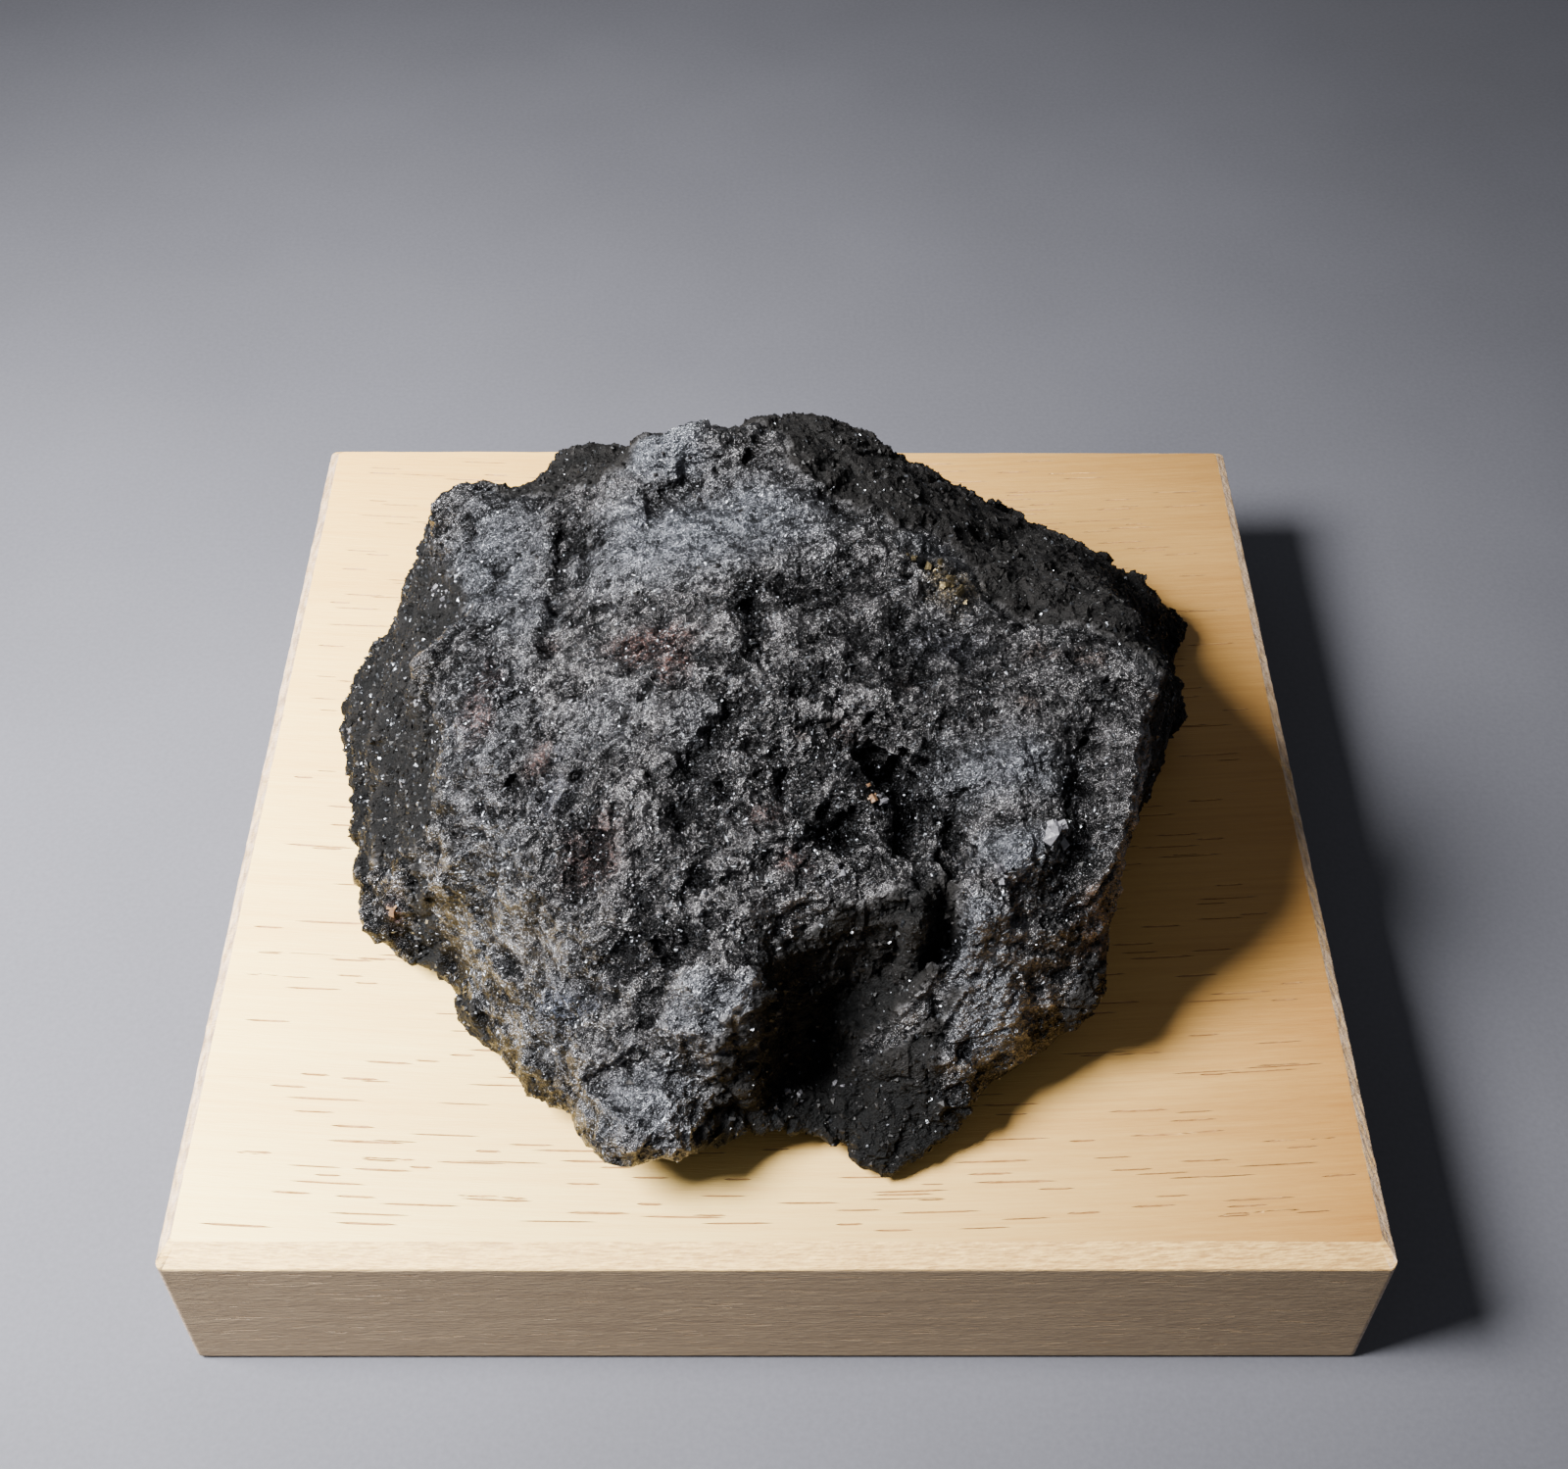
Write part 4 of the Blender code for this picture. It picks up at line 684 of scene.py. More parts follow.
def fine_relief(points, what):
    """Outward offset (mm) of the small broken relief, by what the surface is made of."""
    crust, silver_and_sheen, pitted = what["crust"], what["silver_and_sheen"], what["pitted"]
    warp = np.column_stack([ripple(points, WARP_SIZE, SEED + k) for k in (5, 6, 7)])
    bent = points + warp * WARP
    plain, in_pitted, in_silver = CRUST_ROUGH
    rough = crust * (plain + in_pitted * pitted + in_silver * silver_and_sheen)
    rough += (1.0 - crust) * MATRIX_ROUGH
    offset = np.zeros(len(points))
    for size, tilt, step, least, more, seed in BREAKS:
        offset += (least + more * rough) * blocks(bent, size, tilt, step, SEED + seed)
    offset += ripple(points, SWELL_SIZE, SEED + 13) * SWELL
    offset += (1.0 - crust) * (LUMP_AMOUNT * blocks(bent, *MATRIX_LUMPS))
    # low ledges, small waves and flakes that follow the lie of the crystals
    lie = along_grain(points)
    broad = ripple(lie / LEDGE_FIELD, 1.0, SEED + 21) * LEDGES_IN_FIELD
    broad += ripple(lie, LEDGE_WAVE_SIZE, SEED + 22) * LEDGE_WAVE
    ledge = steps(broad + warp[:, 1] * LEDGE_WARP, LEDGE_RISER)
    offset += crust * (LOW_LEDGE + SILVER_LEDGE * silver_and_sheen) * ledge
    offset += crust * sum(high * ripple(bent, size, SEED + seed) for size, high, seed in WAVES)
    offset += crust * blocks((lie + warp * FLAKE_WARP) / FLAKE_SHAPE, *FLAKE_BLOCKS)
    for spacing, chance, in_pitted, in_matrix, radius, wider, depth, deeper, seed in PITS:
        near, _, dice = cells(bent, spacing, SEED + seed)
        open_pit = dice[:, 0] < chance + in_pitted * pitted + in_matrix * (1.0 - crust)
        hollow = smooth(1.0 - near / (radius + wider * dice[:, 1]))
        offset -= np.where(open_pit, hollow, 0.0) * (depth + deeper * dice[:, 2])
    ragged = 1.0 + VUG_RAGGED * ripple(points, VUG_RAGGED_SIZE, SEED + 23)
    for x, y, radius, depth in VUGS:
        near = np.hypot(bent[:, 0] - x, bent[:, 1] - y) / radius * ragged
        offset -= depth * smooth((1.0 - near) / VUG_RIM) * (points[:, 2] > VUG_FLOOR)
    offset += MATRIX_SWELL * (1.0 - crust)
    return offset


def neighbour_mean(values, edges):
    """Mean of each vertex's neighbours."""
    total = np.zeros_like(values)
    count = len(values)
    a, b = edges[:, 0], edges[:, 1]
    for k in range(values.shape[1]):
        total[:, k] = (np.bincount(a, values[b, k], minlength=count)
                       + np.bincount(b, values[a, k], minlength=count))
    degree = np.bincount(a, minlength=count) + np.bincount(b, minlength=count)
    return total / np.maximum(degree, 1)[:, None]


def relaxed(points, edges, times, pull):
    """The points after being drawn towards their neighbours a number of times."""
    for _ in range(times):
        points = points * (1.0 - pull) + neighbour_mean(points, edges) * pull
    return points


def mesh_arrays(mesh):
    """Vertices (mm), vertex normals and edges of a mesh."""
    count = len(mesh.vertices)
    co = np.zeros(count * 3)
    mesh.vertices.foreach_get("co", co)
    normal = np.zeros(count * 3)
    mesh.vertex_normals.foreach_get("vector", normal)
    edge = np.zeros(len(mesh.edges) * 2, dtype=np.int64)
    mesh.edges.foreach_get("vertices", edge)
    return co.reshape(-1, 3) / MM, normal.reshape(-1, 3), edge.reshape(-1, 2)


def put_vertices(mesh, points):
    mesh.vertices.foreach_set("co", (points * MM).ravel())
    mesh.update()


def apply_modifiers(thing):
    """Replace an object's mesh by its evaluated mesh."""
    bpy.context.view_layer.update()
    graph = bpy.context.evaluated_depsgraph_get()
    made = bpy.data.meshes.new_from_object(thing.evaluated_get(graph), depsgraph=graph)
    old = thing.data
    thing.modifiers.clear()
    thing.data = made
    made.name = thing.name
    bpy.data.meshes.remove(old)


def new_object(name, data):
    thing = bpy.data.objects.new(name, data)
    bpy.context.scene.collection.objects.link(thing)
    return thing


def add_object(name, vertices, faces):
    mesh = bpy.data.meshes.new(name)
    mesh.from_pydata((np.asarray(vertices) * MM).tolist(), [], faces)
    mesh.update()
    return new_object(name, mesh)


def keep_values(mesh, name, values):
    """Store one number a vertex for the shader."""
    store = mesh.attributes.new(name, "FLOAT", "POINT")
    store.data.foreach_set("value", values.astype(np.float32))


def keep_colours(mesh, name, colours):
    """Store one colour a vertex for the shader."""
    store = mesh.attributes.new(name, "FLOAT_COLOR", "POINT")
    full = np.column_stack([colours, np.ones(len(colours))])
    store.data.foreach_set("color", full.astype(np.float32).ravel())


def plain_rock():
    """The rock with the shape and the breakage of the solid."""
    rings, top, under = specimen_points()
    base = BLOCK_THICKNESS + LIFT
    vertices = np.vstack(rings + [np.array([top]), np.array([under])]) + (0.0, 0.0, base)
    faces = []
    for r in range(len(rings) - 1):
        for i in range(AROUND):
            j = (i + 1) % AROUND
            low = r * AROUND
            faces.append((low + i, low + AROUND + i, low + AROUND + j, low + j))
    last = (len(rings) - 1) * AROUND
    first = len(vertices) - 2
    for i in range(AROUND):
        j = (i + 1) % AROUND
        faces.append((first, i, j))
        faces.append((first + 1, last + j, last + i))
    rock = add_object("plagionite_rock", vertices, faces)
    points, normals, _ = mesh_arrays(rock.data)
    calm = smooth((points[:, 2] - BLOCK_THICKNESS - CALM_FROM) / CALM_OVER)
    offset = np.array([breakage(Vector(p)) for p in points]) * calm
    points = points + normals * offset[:, None]
    points[:, 2] = np.maximum(points[:, 2], base)
    put_vertices(rock.data, points)
    return rock


def roughen(rock):
    """Cut the fine relief into an even skin, then thin the mesh out where it is flat."""
    skin = rock.modifiers.new("even skin", "REMESH")
    skin.mode = "VOXEL"
    skin.voxel_size = SKIN * MM
    apply_modifiers(rock)
    points, _, edges = mesh_arrays(rock.data)
    put_vertices(rock.data, relaxed(points, edges, *SKIN_SMOOTHINGS))
    points, normals, _ = mesh_arrays(rock.data)
    above = points - (0.0, 0.0, BLOCK_THICKNESS)
    what = fields(above)
    calm = smooth((above[:, 2] - FOOT_CALM[0]) / FOOT_CALM[1])
    points = points + normals * (fine_relief(above, what) * calm)[:, None]
    points[:, 2] -= points[:, 2].min() - BLOCK_THICKNESS
    put_vertices(rock.data, points)
    rock.data.calc_loop_triangles()
    thin = rock.modifiers.new("thin out", "DECIMATE")
    thin.ratio = min(1.0, ROCK_TRIANGLES / len(rock.data.loop_triangles))
    apply_modifiers(rock)


def mark(rock):
    """Keep what the surface is made of at each vertex, and its painted shade and sheen, for the
    shader.
    """
    points, normals, edges = mesh_arrays(rock.data)
    above = points - (0.0, 0.0, BLOCK_THICKNESS)
    what = fields(above)
    # painted shade in recesses: how deep each vertex lies below what the smoothings would fill
    recess_shade = ((relaxed(points, edges, *RECESS_SMOOTHINGS) - points) * normals).sum(1)
    for name in ("crust", "silver_and_sheen", "pitted", "painted_shade", "cover"):
        keep_values(rock.data, name, what[name])
    keep_values(rock.data, "recess_shade", np.clip(recess_shade / RECESS_DEPTH, -1.0, 1.0))
    keep_colours(rock.data, "stain", what["stain"])
    lie = rock.data.attributes.new("lie", "FLOAT_VECTOR", "POINT")
    lie.data.foreach_set("vector", along_grain(above).astype(np.float32).ravel())


# ---- crystals and grains sitting on the rock -------------------------------
# A thick tablet: corners of a bevelled plate, unit size, buried a little at z < 0.
TABLET = np.array([(-0.5, -0.36, -0.35), (0.5, -0.36, -0.35), (0.5, 0.36, -0.35), (-0.5, 0.36, -0.35),
                   (-0.34, -0.30, 0.5), (0.42, -0.22, 0.42), (0.36, 0.30, 0.5), (-0.42, 0.24, 0.36)])
TABLET_FACES = [(0, 3, 2, 1), (4, 5, 6, 7), (0, 1, 5, 4), (1, 2, 6, 5), (2, 3, 7, 6), (3, 0, 4, 7)]
# A blunt grain: six corners, eight faces.
GRAIN = np.array([(0.5, 0.05, 0.0), (0.1, 0.5, 0.08), (-0.5, 0.0, 0.0), (0.0, -0.5, -0.06),
                  (0.06, -0.04, 0.5), (0.0, 0.0, -0.5)])
GRAIN_FACES = [(0, 1, 4), (1, 2, 4), (2, 3, 4), (3, 0, 4), (1, 0, 5), (2, 1, 5), (3, 2, 5), (0, 3, 5)]
# A long thin blade.
BLADE = np.array([(-0.5, 0.0, 0.0), (-0.2, -0.5, -0.2), (0.25, -0.45, -0.2), (0.5, 0.0, 0.0),
                  (0.2, 0.5, -0.2), (-0.3, 0.4, -0.2), (-0.15, 0.05, 0.6), (0.2, -0.05, 0.55),
                  (0.0, 0.0, -0.7)])
BLADE_FACES = [
    (0, 1, 6), (1, 2, 7, 6), (2, 3, 7), (3, 4, 7), (4, 5, 6, 7), (5, 0, 6), (1, 0, 8), (2, 1, 8),
    (3, 2, 8), (4, 3, 8), (5, 4, 8), (0, 5, 8)]
SUNK = 0.12               # share of a crystal's size that it sinks into the rock


def rock_faces(rock):
    """Middle, normal, area and corners (mm) of every triangle of the rock."""
    mesh = rock.data
    mesh.calc_loop_triangles()
    corner = np.zeros(len(mesh.loop_triangles) * 3, dtype=np.int64)
    mesh.loop_triangles.foreach_get("vertices", corner)
    corner = corner.reshape(-1, 3)
    points, _, _ = mesh_arrays(mesh)
    a, b, c = points[corner[:, 0]], points[corner[:, 1]], points[corner[:, 2]]
    cross = np.cross(b - a, c - a)
    size = np.linalg.norm(cross, axis=1)
    return a, b, c, cross / np.maximum(size, 1e-12)[:, None], size / 2.0


def add_solids(name, dice, place, up, lead, sizes, shape, faces, sunk):
    """One mesh with a small solid at every place (mm); sizes are length, width and height."""
    count, corners = len(place), len(shape)
    up = up / np.linalg.norm(up, axis=1)[:, None]
    lead = lead - up * (lead * up).sum(1)[:, None]
    lead /= np.linalg.norm(lead, axis=1)[:, None]
    side = np.cross(up, lead)
    length, width, height = sizes
    local = shape[None, :, :] + dice.normal(0.0, 0.06, (count, corners, 3))
    spot = (place - up * (height * sunk)[:, None])[:, None, :]
    spot = spot + lead[:, None, :] * (local[:, :, 0] * length[:, None])[:, :, None]
    spot = spot + side[:, None, :] * (local[:, :, 1] * width[:, None])[:, :, None]
    spot = spot + up[:, None, :] * (local[:, :, 2] * height[:, None])[:, :, None]
    spot = spot.reshape(-1, 3)
    spot[:, 2] = np.maximum(spot[:, 2], BLOCK_THICKNESS)
    solid = [tuple(f + k * corners for f in face) for k in range(count) for face in faces]
    piece = add_object(name, spot, solid)
    keep_values(piece.data, "tone", np.repeat(dice.random(count), corners))
    return piece


def scatter(name, rock, weight, count, shape, faces, lengths, tilt, flow, seed):
    """One mesh of many small solids on the rock.

    lengths: (smallest, largest, width share, height share); weight: function of the fields.
    """
    dice = np.random.default_rng(seed)
    a, b, c, normal, area = rock_faces(rock)
    middle = (a + b + c) / 3.0 - (0.0, 0.0, BLOCK_THICKNESS)
    chance = area * weight(fields(middle), middle, normal)
    pick = dice.choice(len(a), size=count, p=chance / chance.sum())
    u, v = dice.random(count), dice.random(count)
    over = u + v > 1.0
    u[over], v[over] = 1.0 - u[over], 1.0 - v[over]
    place = a[pick] + (b[pick] - a[pick]) * u[:, None] + (c[pick] - a[pick]) * v[:, None]
    up = normal[pick] + dice.normal(0.0, tilt, (count, 3))
    if flow:
        above = place - (0.0, 0.0, BLOCK_THICKNESS)
        turn = grain_turn(above) + dice.normal(0.0, 0.35, count)
        lead = np.column_stack([np.cos(turn), np.sin(turn), np.zeros(count)])
    else:
        lead = dice.normal(0.0, 1.0, (count, 3))
    smallest, largest, wide, high = lengths
    length = smallest * (largest / smallest) ** (dice.random(count) ** 2.2)
    sizes = (length, length * wide * dice.uniform(0.7, 1.3, count),
             length * high * dice.uniform(0.7, 1.3, count))
    return add_solids(name, dice, place, up, lead, sizes, shape, faces, SUNK)


# Single grains that stand out: x, y, height above the block, size of the clump.
QUARTZ = [
    (22.2, -24.9, 24.0, 2.3), (8.7, -22.7, 25.0, 0.9), (17.6, -27.4, 23.0, 0.8),
    (18.0, -28.7, 22.0, 0.7), (5.1, -28.5, 23.5, 0.7), (3.9, -29.2, 23.0, 0.6),
    (-38.9, 1.9, 8.0, 0.9), (-33.1, -9.5, 12.0, 0.9), (-31.7, -5.4, 18.0, 0.7),
    (-31.8, 10.2, 17.0, 0.8), (-30.5, 7.6, 18.0, 0.8), (-40.5, 2.0, 6.0, 0.8),
    (0.9, -37.1, 5.0, 0.7), (1.8, -37.2, 5.0, 0.6), (-0.3, -38.4, 5.0, 0.6),
    (5.4, -36.4, 5.0, 0.7)]
PYRITE = [
    (14.5, -2.8, 31.0, 1.3), (13.5, 0.2, 30.0, 1.1), (15.8, -3.8, 30.0, 0.9),
    (12.2, 0.0, 31.0, 0.9), (14.9, -0.9, 30.5, 0.8)]
OCHRE = [(7.8, -22.5, 25.5, 0.8), (-33.6, -20.6, 8.0, 0.9), (25.0, -27.9, 5.0, 0.9)]
CLUMP_GRAINS = 7
CLUMP_SUNK = 0.10


def clumps(name, rock, spots, seed):
    """One mesh of grain clumps that sit half sunk on the rock near the given places."""
    dice = np.random.default_rng(seed)
    skin = BVHTree.FromObject(rock, bpy.context.evaluated_depsgraph_get())
    place, up, length = [], [], []
    for x, y, height, size in spots:
        for k in range(CLUMP_GRAINS):
            reach = 0.0 if k == 0 else size * 0.45
            start = Vector((x, y, height + BLOCK_THICKNESS))
            start += Vector(dice.normal(0.0, 1.0, 3)) * reach
            near, normal, _, _ = skin.find_nearest(start * MM)
            place.append(near / MM)
            up.append(normal + Vector(dice.normal(0.0, 0.4, 3)))
            length.append(size * (0.85 if k == 0 else dice.uniform(0.25, 0.55)))
    length = np.array(length)
    count = len(length)
    sizes = (length, length * dice.uniform(0.7, 1.0, count), length * dice.uniform(0.6, 0.9, count))
    lead = dice.normal(0.0, 1.0, (count, 3))
    return add_solids(name, dice, np.array(place), np.array(up), lead, sizes, TABLET,
                      TABLET_FACES, CLUMP_SUNK)


# ---- materials -------------------------------------------------------------
MIX_SHARE, MIX_FIRST, MIX_SECOND, MIX_COLOUR = 0, 6, 7, 2   # sockets of the colour mix node


def feed(tree, node, values):
    """Set a node's sockets; values maps a socket to a number, a colour or a node's output."""
    for key, value in values.items():
        if isinstance(value, bpy.types.NodeSocket):
            tree.links.new(value, node.inputs[key])
        else:
            node.inputs[key].default_value = value


def put(tree, kind, values=None, **settings):
    """Add a node with its socket values and settings."""
    node = tree.nodes.new(kind)
    for key, value in settings.items():
        setattr(node, key, value)
    feed(tree, node, values or {})
    return node


def maths(tree, operation, *values):
    node = put(tree, "ShaderNodeMath", dict(enumerate(values)), operation=operation)
    return node.outputs[0]


def vectors(tree, operation, *values):
    node = put(tree, "ShaderNodeVectorMath", dict(enumerate(values)), operation=operation)
    return node.outputs[0]


def product(tree, first, second):
    return maths(tree, "MULTIPLY", first, second)


def mixed(tree, *parts):
    """Sum of (value, share) pairs."""
    total = 0.0
    for value, share in parts:
        total = maths(tree, "ADD", product(tree, value, share), total)
    return total


def split_up(tree, value):
    return put(tree, "ShaderNodeSeparateXYZ", {0: value}).outputs


def blend_colours(tree, share, *colours):
    """From the first colour to the second; each is (red, green, blue) or a node's output."""
    full = [(*c, 1.0) if isinstance(c, tuple) else c for c in colours]
    values = {MIX_SHARE: share, MIX_FIRST: full[0], MIX_SECOND: full[1]}
    return put(tree, "ShaderNodeMix", values, data_type="RGBA").outputs[MIX_COLOUR]


def stretch(tree, value, low, high, to_low=0.0, to_high=1.0):
    node = put(tree, "ShaderNodeMapRange", {0: value, 1: low, 2: high, 3: to_low, 4: to_high})
    return node.outputs[0]


def stored(tree, name, output="Fac"):
    return put(tree, "ShaderNodeAttribute", attribute_name=name).outputs[output]


def scaled(tree, place, sizes, unit=1.0):
    """A place divided by the given sizes, one size or three."""
    three = sizes if isinstance(sizes, tuple) else (sizes,) * 3
    return vectors(tree, "MULTIPLY", place, tuple(1.0 / (unit * size) for size in three))


def place_of(tree, sizes):
    """Object coordinates, in millimetres divided by the given sizes."""
    return scaled(tree, put(tree, "ShaderNodeTexCoord").outputs["Object"], sizes, MM)


def noise_at(tree, place, detail=3.0, rough=0.55, output="Fac"):
    values = {"Vector": place, "Scale": 1.0, "Detail": detail, "Roughness": rough}
    return put(tree, "ShaderNodeTexNoise", values).outputs[output]


def facet_at(tree, place, output="Color"):
    return put(tree, "ShaderNodeTexVoronoi", {"Vector": place, "Scale": 1.0}).outputs[output]


def tilted_normal(tree, normal, sources):
    """Normal leaned by random cell colours; sources are (colour, strength)."""
    for colour, strength in sources:
        lean = vectors(tree, "SUBTRACT", colour, (0.5, 0.5, 0.5))
        lean = put(tree, "ShaderNodeVectorMath", {0: lean, "Scale": strength}, operation="SCALE")
        normal = vectors(tree, "ADD", normal, lean.outputs[0])
    return vectors(tree, "NORMALIZE", normal)


def bumped(tree, height, distance, strength=1.0):
    """Surface normal with fine relief of the given height in millimetres."""
    values = {"Strength": strength, "Distance": distance * MM, "Height": height}
    return put(tree, "ShaderNodeBump", values).outputs[0]


def new_material(name):
    material = bpy.data.materials.new(name)
    material.use_nodes = True
    tree = material.node_tree
    return material, tree, tree.nodes["Principled BSDF"]


# Rock: sizes (mm) of its textures; those of three numbers follow the lie of the crystals.
FINE_GRAIN = 0.26
MOTTLE = 3.0
STREAK = (0.75, 0.20, 0.30)
HAIR = (0.22, 0.09, 0.11)
FACET = 0.15
FLAKE = (0.60, 0.24, 0.30)
LEDGE = (2.6, 0.80, 1.1)
LAYER = (3.6, 0.50, 0.80)
RAGGED_SIZE = 1.3         # ledges and layers have ragged edges of this size
RAGGED_REACH = 1.6
CRUST_DARK = (0.006, 0.006, 0.0063)
STEEL_WARM = (0.278, 0.268, 0.272)
STEEL_COOL = (0.238, 0.250, 0.280)
MATRIX_DARK = (0.0013, 0.0013, 0.0013)
MATRIX_LIGHT = (0.0125, 0.0113, 0.0106)
STAIN_GAIN = 3.0          # stains multiply the crust's own colour by this
ROCK_SPECULAR = 0.16
CRYSTAL_SPECULAR = 0.2


def rock_material():
    material, tree, shader = new_material("sulphide rock")
    crust, silver_and_sheen, pitted, painted_shade, recess_shade = (
        stored(tree, name) for name in ("crust", "silver_and_sheen", "pitted", "painted_shade", "recess_shade"))
    lie = stored(tree, "lie", "Vector")
    wave = noise_at(tree, place_of(tree, RAGGED_SIZE), 3.0, 0.6, "Color")
    ragged = vectors(tree, "MULTIPLY_ADD", wave, (RAGGED_REACH,) * 3, lie)
    fine = noise_at(tree, place_of(tree, FINE_GRAIN), 3.0, 0.62)
    mottle = noise_at(tree, place_of(tree, MOTTLE), 4.0, 0.62)
    streak = noise_at(tree, scaled(tree, lie, STREAK), 3.0, 0.6)
    hair = noise_at(tree, scaled(tree, lie, HAIR), 2.0, 0.6)
    facet = facet_at(tree, place_of(tree, FACET))
    glint = split_up(tree, facet)[0]
    flake = facet_at(tree, scaled(tree, lie, FLAKE))
    ledge = facet_at(tree, scaled(tree, ragged, LEDGE))
    plane = split_up(tree, ledge)[0]
    layer = noise_at(tree, scaled(tree, ragged, LAYER), 3.0, 0.6)

    grainy = mixed(tree, (fine, 0.36), (streak, 0.48), (glint, 0.34))
    # the silver patches are less grainy and, below, lighter in tone and cooler in colour: partly a
    # lighter crust, partly painted sheen
    grainy = product(tree, grainy, mixed(tree, (1.0, 1.0), (silver_and_sheen, -0.30)))
    # painted shade: the tone is darker in the patches of painted shade, on the flank towards the lamp
    # and low on the rock
    tone = mixed(tree, (grainy, 1.0), (mottle, 0.65), (layer, 0.70), (plane, 0.28), (silver_and_sheen, 0.30),
                 (painted_shade, -0.30), (pitted, -0.10), (recess_shade, -0.24))
    tone = stretch(tree, tone, 1.12, 1.88)
    tone = maths(tree, "POWER", tone, 1.6)
    steel = blend_colours(tree, silver_and_sheen, STEEL_WARM, STEEL_COOL)
    crust_colour = blend_colours(tree, tone, CRUST_DARK, steel)
    # painted shade in recesses: the crust's tone above and the matrix's tone here are darker in
    # recesses
    dull_tone = mixed(tree, (fine, 1.0), (mottle, 1.0), (recess_shade, -0.4), (painted_shade, -0.5))
    dull_tone = stretch(tree, dull_tone, 0.65, 1.5)
    dull = blend_colours(tree, dull_tone, MATRIX_DARK, MATRIX_LIGHT)
    colour = blend_colours(tree, crust, dull, crust_colour)
    broken = stretch(tree, mixed(tree, (fine, 0.6), (hair, 0.4)), 0.42, 0.58)
    cover = product(tree, stored(tree, "cover"), broken)
    stain = vectors(tree, "MULTIPLY", stored(tree, "stain", "Color"), crust_colour)
    stain = vectors(tree, "MULTIPLY", stain, (STAIN_GAIN,) * 3)
    colour = blend_colours(tree, cover, colour, stain)

    metal = product(tree, crust, mixed(tree, (1.0, 0.86), (cover, -0.45)))
    rough = mixed(tree, (fine, -0.12), (glint, -0.16), (crust, -0.38), (1.0, 0.80), (silver_and_sheen, 0.02))
    normal = bumped(tree, mixed(tree, (streak, 0.75), (hair, 0.35), (fine, 0.60)), 0.34)
    lean = mixed(tree, (1.0, 0.20), (crust, 0.20), (silver_and_sheen, -0.06), (pitted, 0.14))
    flake_lean = mixed(tree, (crust, 0.34), (silver_and_sheen, -0.06))
    ledge_lean = product(tree, crust, 0.26)
    sources = [(facet, lean), (flake, flake_lean), (ledge, ledge_lean)]
    feed(tree, shader, {"Base Color": colour, "Metallic": maths(tree, "ADD", metal, 0.04),
                        "Roughness": rough, "Specular IOR Level": ROCK_SPECULAR,
                        "Normal": tilted_normal(tree, normal, sources)})
    return material


def crystal_material(name, dark, light, roughness, metallic):
    """Small bright crystals: each has its own tone."""
    material, tree, shader = new_material(name)
    tone = maths(tree, "POWER", stored(tree, "tone"), 2.5)
    fine = noise_at(tree, place_of(tree, 0.10), 2.0)
    rough = stretch(tree, fine, 0.3, 0.7, roughness * 0.8, roughness * 1.25)
    tilt = facet_at(tree, place_of(tree, 0.16))
    plain = put(tree, "ShaderNodeNewGeometry").outputs["Normal"]
    share = mixed(tree, (tone, 0.8), (fine, 0.2))
    feed(tree, shader, {"Base Color": blend_colours(tree, share, dark, light), "Roughness": rough,
                        "Metallic": metallic, "Specular IOR Level": CRYSTAL_SPECULAR,
                        "Normal": tilted_normal(tree, plain, [(tilt, 0.22)])})
    return material


def grain_material(name, dark, light, roughness, metallic):
    """Grains of another mineral: mottled between two colours."""
    material, tree, shader = new_material(name)
    fine = noise_at(tree, place_of(tree, 0.35), 3.0, 0.6)
    share = stretch(tree, mixed(tree, (stored(tree, "tone"), 0.4), (fine, 0.6)), 0.25, 0.75)
    feed(tree, shader, {"Base Color": blend_colours(tree, share, dark, light),
                        "Roughness": roughness, "Metallic": metallic,
                        "Normal": bumped(tree, fine, 0.10)})
    return material


# Wood: sizes (mm) along and across the grain, and colours. The top's colours are for the front
# and the back of its left edge, then of its right edge: painted light, pale at the front left
# towards the lamp and darker to the right and the back.
BANDS = (160.0, 7.0, 9.0)
STREAKS = (14.0, 0.5, 0.5)
FIBRE = (2.4, 0.14, 0.14)
FLECKS = (1.1, 0.22, 0.22)
END_ROWS = (0.35, 1.6, 0.35)
TOP_LOW_PAINTED_LIGHT = [((0.88, 0.580, 0.180), (0.74, 0.405, 0.090)),
           ((0.30, 0.125, 0.020), (0.25, 0.120, 0.026))]
TOP_HIGH_PAINTED_LIGHT = [((1.00, 0.780, 0.290), (0.90, 0.560, 0.150)),
            ((0.42, 0.205, 0.040), (0.35, 0.194, 0.052))]
SAWN_LOW, SAWN_HIGH = (0.192, 0.129, 0.071), (0.288, 0.204, 0.118)
SAWN_FLECK = (0.40, 0.30, 0.19)
TORN_LOW, TORN_HIGH = (0.42, 0.23, 0.072), (0.90, 0.58, 0.19)
END_LOW, END_HIGH = (0.19, 0.13, 0.095), (0.50, 0.38, 0.29)
PORE_BROWN = (0.20, 0.080, 0.022)


